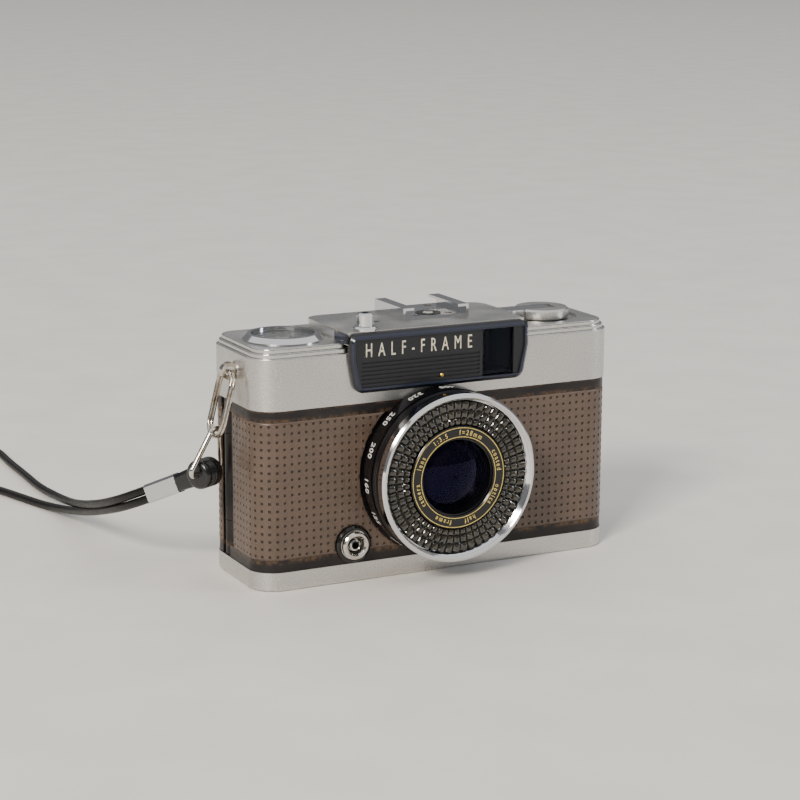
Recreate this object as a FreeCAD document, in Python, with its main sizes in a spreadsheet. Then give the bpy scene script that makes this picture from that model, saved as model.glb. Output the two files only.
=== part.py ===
import FreeCAD, Part
import math
import os
import re
import Sketcher
from FreeCAD import Placement, Rotation, Vector

# Half frame camera, millimetres. X runs to the right as one looks at its front, the front faces -Y
# and Z is up. The origin is the mouth of the tripod socket, in the plane the camera stands on.

SIZES = [
    # name, millimetres (degrees where it says so), what it is
    ("body_width", 109, "body without its strap lugs"),
    ("front_depth", 15.4, "tripod socket to front face"),
    ("back_depth", 17.4, "tripod socket to back face"),
    ("front_corner", 7.4, "radius of the front corners"),
    ("back_corner", 6, "radius of the back corners"),
    ("base_height", 5.25, "base plate"),
    ("casting_height", 44.05, "casting, from base plate to top cover"),
    ("cover_wall_height", 14, "satin wall of the top cover"),
    ("cover_step_height", 1.2, "each polished step above it"),
    ("cover_step_inset", 0.75, "how far each step goes in"),
    ("shell_wall", 1, "sheet metal of cover and base"),
    ("platform_left", -29, "raised platform, left side"),
    ("platform_right", 26, "raised platform, right side"),
    ("platform_back", 12, "raised platform, back"),
    ("platform_height", 3, "raised platform above the deck"),
    ("platform_corner", 4.5, "its back corners"),
    ("strip_inset", 0.25, "casting and door inside the cover's outline"),
    ("strip_low", 3.35, "painted strip under the leatherette"),
    ("strip_high", 3.1, "painted strip over the leatherette"),
    ("leather_depth", 0.8, "recess that holds the leatherette"),
    ("leather_thick", 0.9, "leatherette"),
    ("leather_end", 2.3, "where the front leatherette ends on the sides"),
    ("casting_back", 9.6, "rear face of the casting"),
    ("door_gap", 0.3, "air round the door"),
    ("fit_gap", 0.05, "air between fixed pieces that fit in each other"),
    ("run_gap", 0.06, "air round a shaft that turns"),
    # film chambers
    ("cassette_x", 39.1, "cassette and rewind axis"),
    ("chamber_y", -0.8, "axis of both chambers"),
    ("cassette_radius", 12.7, "cassette chamber"),
    ("spool_x", -40.7, "take-up and counter axis"),
    ("spool_chamber_radius", 10.4, "take-up chamber"),
    ("chamber_wall", 1, "floor and ceiling of the chambers"),
    ("sprocket_x", -23.3, "sprocket axis"),
    ("sprocket_y", 4.3, "sprocket axis"),
    ("sprocket_radius", 4.9, "toothed rims"),
    ("gate_width", 18, "half frame, width"),
    ("gate_height", 24, "half frame, height"),
    # lens
    ("lens_x", -0.95, "lens axis"),
    ("lens_z", 28.9, "lens axis"),
    ("lens_reach", 28, "tripod socket to front of the rim"),
    ("rim_radius", 23.2, "chrome rim and both rings"),
    ("filter_radius", 21.75, "filter thread"),
    ("rim_length", 3.3, "chrome rim"),
    ("aperture_length", 3.6, "aperture ring"),
    ("ring_gap", 0.2, "air between the rings"),
    ("tube_radius", 20.9, "tube that the rings turn on"),
    ("tube_bore", 20, "its bore at the light cell"),
    ("housing_radius", 19.3, "shutter housing in the casting"),
    ("housing_back", 4.1, "tripod socket to back of the housing"),
    ("barrel_radius", 14.2, "lens barrel"),
    ("name_ring_bore", 10.8, "name ring"),
    ("front_lens_radius", 10.3, "front lens"),
    ("rear_lens_radius", 6.4, "rear lens"),
    ("shutter_hole", 5.2, "hole in the shutter plate"),
    ("blade_reach", 11, "lens axis to blade pivots"),
    ("blade_thick", 0.25, "shutter and diaphragm blades"),
    # bezel and viewfinder
    ("bezel_left", -28.4, "front bezel at its widest"),
    ("bezel_right", 25.9, "front bezel at its widest"),
    ("bezel_taper", 1.7, "how much each side comes in below"),
    ("bezel_rise", 3, "its lower edge above the cover's"),
    ("bezel_drop", 0.4, "its upper edge below the platform's top"),
    ("bezel_thick", 2, "plate in front of the cover"),
    ("bezel_ear", 7, "how far its ends wrap back over the deck"),
    ("window_left", 11.5, "viewfinder window"),
    ("window_right", 21.1, "viewfinder window"),
    ("window_rise", 1.4, "viewfinder window above the bezel's lower edge"),
    ("window_drop", 1.6, "viewfinder window below the bezel's upper edge"),
    ("eyepiece_rise", 10, "eyepiece above the cover's lower edge"),
    ("eyepiece_width", 8.6, "eyepiece glass"),
    ("eyepiece_height", 6.6, "eyepiece glass"),
    # top
    ("shoe_x", 2.9, "accessory shoe, centre"),
    ("shoe_front", -5.9, "its front end"),
    ("shoe_length", 17.8, "its length"),
    ("shoe_inside", 18.7, "between its side walls"),
    ("shoe_sheet", 0.7, "its sheet metal"),
    ("shoe_slot", 1.9, "height of the slot"),
    ("shoe_lip", 2.6, "width of each lip"),
    ("counter_radius", 10.9, "ring round the frame counter"),
    ("counter_height", 1.7, "that ring above the deck"),
    ("counter_window_radius", 8.6, "its window"),
    ("button_x", -22.2, "shutter button"),
    ("button_y", -13.1, "shutter button"),
    ("button_radius", 2.36, "shutter button"),
    ("button_rise", 4.65, "button above the platform"),
    ("button_travel", 0.9, "how far it goes down"),
    ("collar_radius", 3.3, "collar of the button"),
    ("collar_height", 1.1, "collar of the button"),
    ("knob_radius", 7.7, "rewind knob"),
    ("knob_height", 2.9, "rewind knob"),
    ("well_radius", 10, "shallow well round the knob"),
    ("well_depth", 0.5, "its depth"),
    ("crank_width", 5.4, "folding crank"),
    ("crank_thick", 1.4, "folding crank"),
    ("crank_over", 4, "crank tip beyond the knob"),
    ("wheel_x", -38.9, "advance wheel"),
    ("wheel_radius", 12.7, "advance wheel"),
    ("wheel_out", 1.5, "advance wheel beyond the back"),
    ("wheel_thick", 3.2, "advance wheel"),
    # sync socket
    ("sync_x", -26.9, "flash sync socket"),
    ("sync_z", 10.7, "flash sync socket"),
    ("sync_collar_radius", 5.1, "its black collar"),
    ("sync_radius", 3.85, "its chrome ring"),
    # bottom
    ("bush_radius", 5.5, "tripod bush"),
    ("thread_radius", 3.05, "tripod thread"),
    ("thread_depth", 4.6, "tripod thread"),
    ("release_radius", 1.9, "rewind release button"),
    ("screw_radius", 1.1, "base screws"),
    ("screw_head_radius", 1.8, "base screws"),
    ("screw_head", 0.6, "their heads"),
    # strap
    ("lug_rise", 9, "strap lugs above the cover's lower edge"),
    ("lug_y", -0.5, "strap lugs"),
    ("lug_out", 1.8, "eye's centre beyond the body side"),
    ("eye_radius", 2.3, "lug eye, outside"),
    ("eye_bore", 1.35, "lug eye, hole"),
    ("link_wire", 0.8, "radius of the link's wire"),
    ("link_bend", 4.5, "radius of the link's ends"),
    ("link_straight", 9, "link's straight sides"),
    ("link_tilt", 14.3, "degrees that the link hangs outwards"),
    ("ring_wire", 0.75, "radius of the ring's wire"),
    ("cord_diameter", 2.4, "strap cord"),
    # shafts and small round pieces
    ("pivot_radius", 1.5, "spool and sprocket pivots, wheel axle"),
    ("fork_radius", 2.5, "rewind shaft"),
    ("spool_core", 5.5, "take-up spool"),
    ("spool_flange", 9.4, "take-up spool"),
    ("blade_pin", 0.7, "pivots of the blades"),
    ("crank_pin_radius", 0.4, "pin of the folding crank"),
    ("button_stem", 1.1, "stem of the shutter button"),
    ("cable_radius", 0.9, "cable release thread"),
    ("cable_depth", 3, "cable release thread"),
    ("shoe_screw_radius", 0.6, "shoe screws"),
    ("shoe_screw_head", 1.1, "shoe screws"),
    ("insulator_radius", 3.5, "insulator of the hot contact"),
    ("contact_radius", 1.6, "hot contact"),
    ("lug_stem", 1.5, "stem of each strap lug"),
    ("dot_radius", 0.55, "index dot"),
    # thin work
    ("gate_seat", 17, "film gate, half width"),
    ("gate_thick", 1, "film gate"),
    ("ear_thick", 0.8, "ends of the bezel that wrap back"),
    ("face_depth", 0.5, "bezel's face below its rim"),
    ("groove_pitch", 1.1, "grooves on the bezel"),
    ("groove_depth", 0.35, "grooves on the bezel"),
    ("window_thick", 0.9, "viewfinder window"),
    ("plate_travel", 0.8, "pressure plate"),
    ("latch_y", 13, "door latch"),
    ("latch_z", 29, "door latch"),
    # back door
    ("hinge_x", 2.2, "hinge axis in from the body side"),
    ("hinge_y", 7.4, "hinge axis"),
    ("knuckle_radius", 2, "hinge knuckles"),
    ("hinge_pin_radius", 0.8, "hinge pin"),
    ("knuckle_length", 9.5, "each knuckle of the casting"),
]

HEIGHTS = [
    # name, formula, what it is
    ("bezel_low", "=base_height + casting_height + bezel_rise", "bezel's lower edge"),
    ("bezel_high", "=base_height + casting_height + cover_wall_height + 2*cover_step_height"
                   " + platform_height - bezel_drop", "bezel's upper edge"),
    ("window_low", "=bezel_low + window_rise", "viewfinder window"),
    ("window_high", "=bezel_high - window_drop", "viewfinder window"),
    ("eyepiece_z", "=base_height + casting_height + eyepiece_rise", "eyepiece's middle"),
    ("lug_z", "=base_height + casting_height + lug_rise", "strap lugs"),
]

doc = FreeCAD.newDocument("half_frame_camera")
sheet = doc.addObject("Spreadsheet::Sheet", "Sizes")
for row, (name, number, note) in enumerate(SIZES + HEIGHTS, 1):
    sheet.set(f"A{row}", note)
    sheet.set(f"B{row}", str(number))
    sheet.setAlias(f"B{row}", name)
doc.recompute()

aliases = {name for name, number, note in SIZES + HEIGHTS}
nodes = {}


def in_sheet(text):
    """The formula with each size's name pointing at the sheet."""
    def sheet_name(word):
        return "Sizes." + word.group() if word.group() in aliases else word.group()

    return re.sub(r"[A-Za-z_]\w*", sheet_name, text)


def value(text):
    """What a formula of sizes comes to now, in millimetres."""
    return float(sheet.evalExpression(str(text)))


def bind(item, prop, text):
    item.setExpression(prop, in_sheet(str(text)))


def put(item, x="0", y="0", z="0", rotation=None):
    """Places an object at a formula for each coordinate, turned by a fixed rotation."""
    item.Placement = Placement(Vector(value(x), value(y), value(z)), rotation or Rotation())
    for axis, text in zip("xyz", (x, y, z)):
        bind(item, f"Placement.Base.{axis}", text)
    return item


def rect(left, low, right, high, low_radius=None, high_radius=None):
    """Four corners; the two low ones and the two high ones may be rounded."""
    low_corners = [(left, low, low_radius), (right, low, low_radius)]
    return low_corners + [(right, high, high_radius), (left, high, high_radius)]


def disc(u, v, radius):
    return (u, v, radius)


FORWARD = Rotation(Vector(1, 0, 0), 90)      # local Z points out of the front, -Y
TO_LEFT = Rotation(Vector(0, 1, 0), -90)     # local Z points to -X
TO_RIGHT = Rotation(Vector(0, 1, 0), 90)     # local Z points to +X


class Piece:
    """One sub-part, a PartDesign body made of sketched features on its own origin planes.

    Sketches on XY start at a height and grow up, those on XZ start at a distance in front of the
    origin and grow forward, and those on YZ start at an X and grow to the right.
    """

    def __init__(self, label, x="0", y="0", z="0", rotation=None, node=True):
        self.body = doc.addObject("PartDesign::Body", label)
        self.body.Label = label
        self.moved = (x, y, z, rotation)
        if node:
            nodes[label] = self.body

    def done(self):
        """Puts the finished body in its place."""
        x, y, z, rotation = self.moved
        put(self.body, x, y, z, rotation)
        return self.body

    def sketch(self, plane, start, loops):
        sketch = self.body.newObject("Sketcher::SketchObject", "Outline")
        origin = next(item for item in self.body.Origin.OriginFeatures if item.Role == plane + "_Plane")
        sketch.AttachmentSupport = [(origin, "")]
        sketch.MapMode = "FlatFace"
        bind(sketch, "AttachmentOffset.Base.z", start)
        for loop in loops:
            if isinstance(loop, tuple):
                self.circle(sketch, *loop)
            else:
                self.polygon(sketch, loop)
        return sketch

    def pin(self, sketch, kind, *places, formula):
        """Adds one dimension and ties it to its formula."""
        index = sketch.addConstraint(Sketcher.Constraint(kind, *places, value(formula)))
        bind(sketch, f"Constraints[{index}]", formula)

    def circle(self, sketch, u, v, radius):
        round_edge = Part.Circle(Vector(value(u), value(v), 0), Vector(0, 0, 1), value(radius))
        index = sketch.addGeometry(round_edge, False)
        self.pin(sketch, "DistanceX", -1, 1, index, 3, formula=u)
        self.pin(sketch, "DistanceY", -1, 1, index, 3, formula=v)
        self.pin(sketch, "Radius", index, formula=radius)

    def polygon(self, sketch, corners):
        """Straight sides between corners; a corner (u, v, radius) between square sides is rounded."""
        rounded = [len(corner) > 2 and corner[2] is not None for corner in corners]
        legs = [self.legs(corners, index) if rounded[index] else None for index in range(len(corners))]
        lines = []
        for index, corner in enumerate(corners):
            following = (index + 1) % len(corners)
            start = legs[index][1] if rounded[index] else corner[:2]
            end = legs[following][0] if rounded[following] else corners[following][:2]
            places = [Vector(value(u), value(v), 0) for u, v in (start, end)]
            line = sketch.addGeometry(Part.LineSegment(*places), False)
            self.pin(sketch, "DistanceX", -1, 1, line, 1, formula=start[0])
            self.pin(sketch, "DistanceY", -1, 1, line, 1, formula=start[1])
            if rounded[following]:
                self.pin(sketch, "DistanceX", -1, 1, line, 2, formula=end[0])
                self.pin(sketch, "DistanceY", -1, 1, line, 2, formula=end[1])
            lines.append(line)
        for index, corner in enumerate(corners):
            arriving, leaving = lines[index - 1], lines[index]
            if rounded[index]:
                self.arc(sketch, corner, legs[index], arriving, leaving)
            else:
                sketch.addConstraint(Sketcher.Constraint("Coincident", arriving, 2, leaving, 1))

    @staticmethod
    def legs(corners, index):
        """Where a rounded corner's arc meets the side before it and the side after it, and its centre."""
        u, v, radius = corners[index]
        ways = []
        for other in (corners[index - 1], corners[(index + 1) % len(corners)]):
            along = value(other[0]) - value(u)
            step_u = round(math.copysign(1, along)) if abs(along) > 1e-6 else 0
            ways.append((step_u, 0) if step_u else (0,
                                                    round(math.copysign(1, value(other[1]) - value(v)))))
        before, after = [(f"{u} + ({a})*({radius})", f"{v} + ({b})*({radius})") for a, b in ways]
        return before, after, (before[0] if ways[0][0] else after[0],
                               before[1] if ways[0][1] else after[1])

    def arc(self, sketch, corner, legs, arriving, leaving):
        before, after, centre = legs
        middle = Vector(value(centre[0]), value(centre[1]), 0)
        angles = [math.atan2(value(v) - middle.y, value(u) - middle.x) for u, v in (before, after)]
        with_clock = math.sin(angles[1] - angles[0]) < 0
        if with_clock:
            angles.reverse()
        circle = Part.Circle(middle, Vector(0, 0, 1), value(corner[2]))
        index = sketch.addGeometry(Part.ArcOfCircle(circle, *angles), False)
        first, last = (2, 1) if with_clock else (1, 2)
        sketch.addConstraint(Sketcher.Constraint("Coincident", arriving, 2, index, first))
        sketch.addConstraint(Sketcher.Constraint("Coincident", index, last, leaving, 1))
        self.pin(sketch, "DistanceX", -1, 1, index, 3, formula=centre[0])

    def feature(self, kind, profile, **settings):
        """Adds a feature and checks that it changed the volume the way it should."""
        before = self.body.Shape.Volume if self.body.Tip else 0
        item = self.body.newObject("PartDesign::" + kind, kind)
        item.Profile = profile
        for prop, setting in settings.items():
            if prop == "Length":
                bind(item, prop, setting)
            else:
                setattr(item, prop, setting)
        profile.Visibility = False
        doc.recompute()
        grows = kind in ("Pad", "Revolution")
        change = self.body.Shape.Volume - before
        if (change <= 1e-4) if grows else (change >= -1e-4):
            raise ValueError(f"{self.body.Label}: {kind} left the volume as it was")
        return self

    def pad(self, plane, start, length, *loops):
        return self.feature("Pad", self.sketch(plane, start, loops), Length=length)

    def pocket(self, plane, start, length, *loops):
        return self.feature("Pocket", self.sketch(plane, start, loops), Length=length, Reversed=True)

    def turn(self, *loops):
        """Turns a profile of (radius, height) about the body's own upright axis."""
        profile = self.sketch("XZ", "0", loops)
        return self.feature("Revolution", profile, ReferenceAxis=(profile, ["V_Axis"]), Angle=360)

    def round(self, radius, edges, kind="Fillet"):
        item = self.body.newObject("PartDesign::" + kind, kind)
        item.Base = (self.previous(item), edges)
        bind(item, "Radius" if kind == "Fillet" else "Size", radius)
        doc.recompute()
        if not edges:
            raise ValueError(f"{self.body.Label}: no edge to round")
        return self

    def previous(self, item):
        solids = [one for one in self.body.Group
                  if one.isDerivedFrom("PartDesign::Feature") and one != item]
        return solids[-1]

    def level(self, z, axis="z"):
        """Names of all the edges that lie at one height, or at one X or Y."""
        height = value(z)
        found = []
        for name, edge in self.edges():
            box = edge.BoundBox
            low = getattr(box, axis.upper() + "Min")
            high = getattr(box, axis.upper() + "Max")
            if abs(low - height) < 1e-3 and abs(high - height) < 1e-3:
                found.append(name)
        return found

    def edges(self):
        return [(f"Edge{index}", edge) for index, edge in enumerate(self.body.Tip.Shape.Edges, 1)]


def turned(label, x, y, z, rotation, *loops):
    """A whole piece turned from one profile, then put in place."""
    return Piece(label, x, y, z, rotation).turn(*loops).done()


def shape(kind, label, node=False, **sizes):
    """A Part primitive with each size bound to a formula."""
    item = doc.addObject("Part::" + kind, label)
    item.Label = label
    for prop, text in sizes.items():
        bind(item, prop, text)
    if node:
        nodes[label] = item
    return item


def fuse(label, *pieces):
    item = doc.addObject("Part::MultiFuse", label)
    item.Label = label
    item.Shapes = list(pieces)
    nodes[label] = item
    return item


# Heights and faces that several pieces share
side = "body_width/2"
cover_low = "(base_height + casting_height)"
shoulder = f"({cover_low} + cover_wall_height)"
deck = f"({shoulder} + 2*cover_step_height)"
platform_top = f"({deck} + platform_height)"
leather_low = "(base_height + strip_low)"
leather_high = f"({cover_low} - strip_high)"
leather_height = f"({leather_high} - {leather_low})"
chamber_low = "(base_height + chamber_wall)"
chamber_height = "(casting_height - 2*chamber_wall)"
leather_face = "(strip_inset + leather_depth)"
hinge_line = f"(-{side} + hinge_x)"
finder_x = "((window_left + window_right)/2)"
roof = 1.1                                   # deck and platform, sheet metal
screws = [("22.3", "3"), ("-14.5", "4.5")]    # base screws, clear of both chambers and the film gate


def outline(inset, front, back, front_radius=None, back_radius=None):
    """The body's outline set in, between two depths."""
    return rect(f"-({side} - {inset})", front, f"{side} - {inset}", back, front_radius, back_radius)


def slab(piece, low, height, inset, cut=False):
    """One layer of the whole body's outline, with its four corners rounded."""
    make = piece.pocket if cut else piece.pad
    make("XY", low, height, outline(inset, f"-(front_depth - {inset})", f"back_depth - {inset}",
                                    f"front_corner - {inset}", f"back_corner - {inset}"))


def base_plate():
    piece = Piece("base_plate")
    slab(piece, "0", "base_height", "0")
    piece.round("0.8", piece.level("0"))
    slab(piece, "shell_wall", "base_height", "shell_wall", cut=True)
    piece.pocket("XY", "-1", "shell_wall + 2", disc("0", "0", "bush_radius + fit_gap"))
    piece.pocket("XY", "-1", "shell_wall + 2", disc("sprocket_x", "sprocket_y",
                                                    "release_radius + run_gap"))
    for x, y in screws:
        piece.pocket("XY", "-1", "shell_wall + 2", disc(x, y, "screw_radius + fit_gap"))
        piece.pocket("XY", "-0.5", "0.5 + screw_head", disc(x, y, "screw_head_radius + fit_gap"))
    piece.done()


def body_casting():
    """The die casting: three layers, with chambers, film gate, lens bore and hinge cut into it."""
    piece = Piece("body_casting")
    for low, height, inset in (
        ("base_height", "strip_low", "strip_inset"),
        (leather_low, leather_height, leather_face),
        (leather_high, "strip_high", "strip_inset"),
    ):
        front = f"-(front_depth - {inset})"
        piece.pad("XY", low, height, outline(inset, front, "casting_back", f"front_corner - {inset}"))
    chambers = (("cassette_x", "cassette_radius", "0"), ("spool_x", "spool_chamber_radius", "2"))
    for x, radius, narrower in chambers:
        piece.pocket("XY", chamber_low, chamber_height, disc(x, "chamber_y", radius))
        mouth = rect(f"{x} - {radius} + {narrower}", "chamber_y", f"{x} + {radius} - 0.3",
                     "casting_back + 1")
        piece.pocket("XY", chamber_low, chamber_height, mouth)
    sprocket_room = "sprocket_radius + 0.5"
    piece.pocket("XY", chamber_low, chamber_height, disc("sprocket_x", "sprocket_y", sprocket_room))
    piece.pocket("XY", chamber_low, chamber_height,
                 rect(f"sprocket_x - {sprocket_room}", "sprocket_y", f"sprocket_x + {sprocket_room}",
                      "casting_back + 1"))
    # shutter bore, light path and seat of the film gate
    piece.pocket("XZ", "housing_back - 0.1", "front_depth",
                 disc("lens_x", "lens_z", "housing_radius + fit_gap"))
    gate = rect("lens_x - gate_width/2 - 1", "lens_z - gate_height/2 - 1",
                "lens_x + gate_width/2 + 1", "lens_z + gate_height/2 + 1")
    piece.pocket("XZ", "-(casting_back + 1)", "casting_back + 1 + housing_back", gate)
    seat = rect("lens_x - gate_seat", "lens_z - gate_seat + 3", "lens_x + gate_seat",
                "lens_z + gate_seat - 3")
    piece.pocket("XZ", "-(casting_back + 1)", "1 + gate_thick + 0.2", seat)
    # flash sync socket, in the lower strip and the wall behind the leatherette
    piece.pocket("XZ", f"front_depth - {leather_face}", "2",
                 disc("sync_x", "sync_z", "sync_collar_radius + fit_gap"))
    # shafts through floor and ceiling
    piece.pocket("XY", "base_height - 1", "chamber_wall + 2",
                 disc("spool_x", "chamber_y", "pivot_radius + run_gap"),
                 disc("sprocket_x", "sprocket_y", "pivot_radius + run_gap"))
    ceiling = f"{cover_low} - chamber_wall - 1"
    piece.pocket("XY", ceiling, "chamber_wall + 2",
                 disc("spool_x", "chamber_y", "pivot_radius + run_gap"),
                 disc("sprocket_x", "sprocket_y", "pivot_radius + run_gap"),
                 disc("cassette_x", "chamber_y", "fork_radius + run_gap"))
    for x, y in screws:
        piece.pocket("XY", "base_height - 1", "4", disc(x, y, "screw_radius + fit_gap"))
    # axle of the advance wheel
    piece.pad("XY", f"{cover_low} - 0.5", "5.5", disc("wheel_x", wheel_y, "pivot_radius"))
    # bracket that guides the shutter button's stem and carries its spring
    guide = f"({platform_top} - 7.5)"
    piece.pad("XY", f"{cover_low} - 0.5", f"{guide} + 1.3 - {cover_low}",
              rect("button_x - 3", "-6.8", "button_x + 3", "-6"))
    piece.pad("XY", guide, "0.8", rect("button_x - 3", "-front_depth + 0.3", "button_x + 3", "-6"))
    piece.pocket("XY", f"{guide} - 1", "3", disc("button_x", "button_y", "button_stem + run_gap"))
    # hinge: a notch down the left side, with two knuckles standing in it
    notch = rect(f"-{side} - 1", "hinge_y - knuckle_radius - 0.5", f"{hinge_line} + knuckle_radius + 0.4",
                 "casting_back + 1")
    piece.pocket("XY", "base_height - 1", "casting_height + 2", notch)
    for low in (hinge_low, f"{hinge_high} - knuckle_length"):
        web = rect(hinge_line, "hinge_y - knuckle_radius + 0.2", f"{hinge_line} + knuckle_radius + 1",
                   "hinge_y")
        piece.pad("XY", low, "knuckle_length", web)
        piece.pad("XY", low, "knuckle_length", disc(hinge_line, "hinge_y", "knuckle_radius"))
        piece.pocket("XY", f"{low} - 1", "knuckle_length + 2",
                     disc(hinge_line, "hinge_y", "hinge_pin_radius + fit_gap"))
    piece.done()


def top_cover():
    piece = Piece("top_cover")
    step = "cover_step_height"
    for low, height, inset in ((cover_low, "cover_wall_height", "0"),
                               (shoulder, step, "cover_step_inset"),
                               (f"({shoulder} + {step})", step, "2*cover_step_inset")):
        slab(piece, low, height, inset)
        piece.round("0.3", piece.level(f"{low} + {height}"))
    # raised platform, its front a little narrower where the bezel wraps round it
    ear = "(-front_depth + bezel_ear + 0.05)"
    piece.pad("XY", f"{deck} - 0.5", "platform_height + 0.5",
              rect("platform_left", ear, "platform_right", "platform_back", None, "platform_corner"))
    piece.pad("XY", f"{deck} - 0.5", "platform_height + 0.5",
              rect("platform_left + ear_thick", "-front_depth", "platform_right - ear_thick", ear))
    # hollow
    slab(piece, f"{cover_low} - 1", f"1 + cover_wall_height - {roof}", "shell_wall", cut=True)
    slab(piece, f"{cover_low} - 1", f"1 + {deck} - {cover_low} - {roof}",
         "(shell_wall + 2*cover_step_inset)", cut=True)
    piece.pocket("XY", f"{deck} - 3", f"3 + platform_height - {roof}",
                 rect("platform_left + 2", "-front_depth + shell_wall", "platform_right - 2",
                      "platform_back - 1.5"))
    # front opening behind the bezel, eyepiece, wheel slot
    piece.pocket("XZ", "front_depth - 3", "4", rect("bezel_left + 3", "bezel_low + 1.5",
                                                    "bezel_right - 3", f"{platform_top} - {roof} - 0.3"))
    eye = rect(f"{finder_x} - eyepiece_width/2 - 0.6", "eyepiece_z - eyepiece_height/2 - 0.6",
               f"{finder_x} + eyepiece_width/2 + 0.6", "eyepiece_z + eyepiece_height/2 + 0.6")
    piece.pocket("XZ", "-(back_depth + 1)", "4", eye)
    reach = "(sqrt(wheel_radius^2 - (wheel_radius - wheel_out - shell_wall)^2) + 0.6)"
    piece.pocket("XZ", "-(back_depth + 1)", "4", rect(f"wheel_x - {reach}", f"{cover_low} - 1",
                                                      f"wheel_x + {reach}",
                                                      f"{wheel_low} + wheel_thick + 0.5"))
    # frame counter, rewind well and shaft, shutter button, shoe screws and contact, strap lugs
    piece.pocket("XY", f"{deck} - 3", "4", disc("spool_x", "chamber_y", "counter_window_radius + 0.1"))
    piece.pocket("XY", f"{deck} - well_depth", "2", disc("cassette_x", "chamber_y", "well_radius"))
    piece.pocket("XY", f"{deck} - 4", "5", disc("cassette_x", "chamber_y", "fork_radius + run_gap"))
    piece.pocket("XY", f"{platform_top} - 3", "4", disc("button_x", "button_y", "button_stem + run_gap"))
    for x, y in shoe_screws:
        piece.pocket("XY", f"{platform_top} - 3", "4", disc(x, y, "shoe_screw_radius + fit_gap"))
    for sign in ("-", ""):
        start = f"-({side} + 1)" if sign else f"{side} - 2"
        piece.pocket("YZ", start, "3", disc("lug_y", "lug_z", "lug_stem + 0.25"))
    piece.done()


def near_corner(edge, x, z):
    """Whether both ends of an edge along y stand over one corner of an outline."""
    ends = [vertex.Point for vertex in edge.Vertexes]
    return all(math.hypot(end.x - value(x), end.z - value(z)) < 0.01 for end in ends)


def front_bezel():
    """Painted plate: a sloping rim round a recessed face, and two ears that wrap back over the deck."""
    piece = Piece("front_bezel")
    knee = "(bezel_low + 9)"
    rim = [("bezel_left + bezel_taper", "bezel_low"), ("bezel_right - bezel_taper", "bezel_low"),
           ("bezel_right", knee), ("bezel_right", "bezel_high"), ("bezel_left", "bezel_high"),
           ("bezel_left", knee),]
    piece.pad("XZ", "front_depth", "bezel_thick", rim)
    for corner, radius in ((0, "3"), (1, "3"), (3, "2.5"), (4, "2.5"), (2, "6"), (5, "6")):
        x, z = rim[corner]
        names = [name for name, edge in piece.edges()
                 if edge.Length < value("bezel_thick") + 0.01 and near_corner(edge, x, z)]
        piece.round(radius, names)
    piece.round("0.9", piece.level("-(front_depth + bezel_thick)", "y"), "Chamfer")
    # recessed face
    inner = "1.5"
    face = [(f"bezel_left + bezel_taper + {inner}", f"bezel_low + {inner}"),
            (f"bezel_right - bezel_taper - {inner}", f"bezel_low + {inner}"),
            (f"bezel_right - {inner}", knee), (f"bezel_right - {inner}", f"bezel_high - {inner}"),
            (f"bezel_left + {inner}", f"bezel_high - {inner}"), (f"bezel_left + {inner}", knee),]
    piece.pocket("XZ", "front_depth + bezel_thick - face_depth", "2", face)
    window = rect("window_left", "window_low", "window_right", "window_high")
    piece.pocket("XZ", "front_depth - 1", "bezel_thick + 2", window)
    seat = rect("window_left - 0.6", "window_low - 0.6", "window_right + 0.6", "window_high + 0.6")
    piece.pocket("XZ", "front_depth - 1", "1 + window_thick", seat)
    # six grooves under the lettering
    for step in range(6):
        low = f"bezel_low + 2.4 + {step}*groove_pitch"
        groove = rect("bezel_left + 3.4", low, "window_left - 0.9", f"{low} + 0.5*groove_pitch")
        piece.pocket("XZ", "front_depth + bezel_thick - face_depth - groove_depth", "1", groove)
    piece.pocket("XZ", "front_depth + bezel_thick - face_depth - 0.5", "2",
                 disc("lens_x", dot_z, "dot_radius + 0.02"))
    for start, end in (("platform_left", "platform_left + ear_thick - 0.02"),
                       ("platform_right - ear_thick + 0.02", "platform_right")):
        piece.pad("XY", f"{deck} + 0.02", f"bezel_high - {deck} - 0.4",
                  rect(start, "-front_depth - 0.5", end, "-front_depth + bezel_ear"))
    piece.done()


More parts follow.
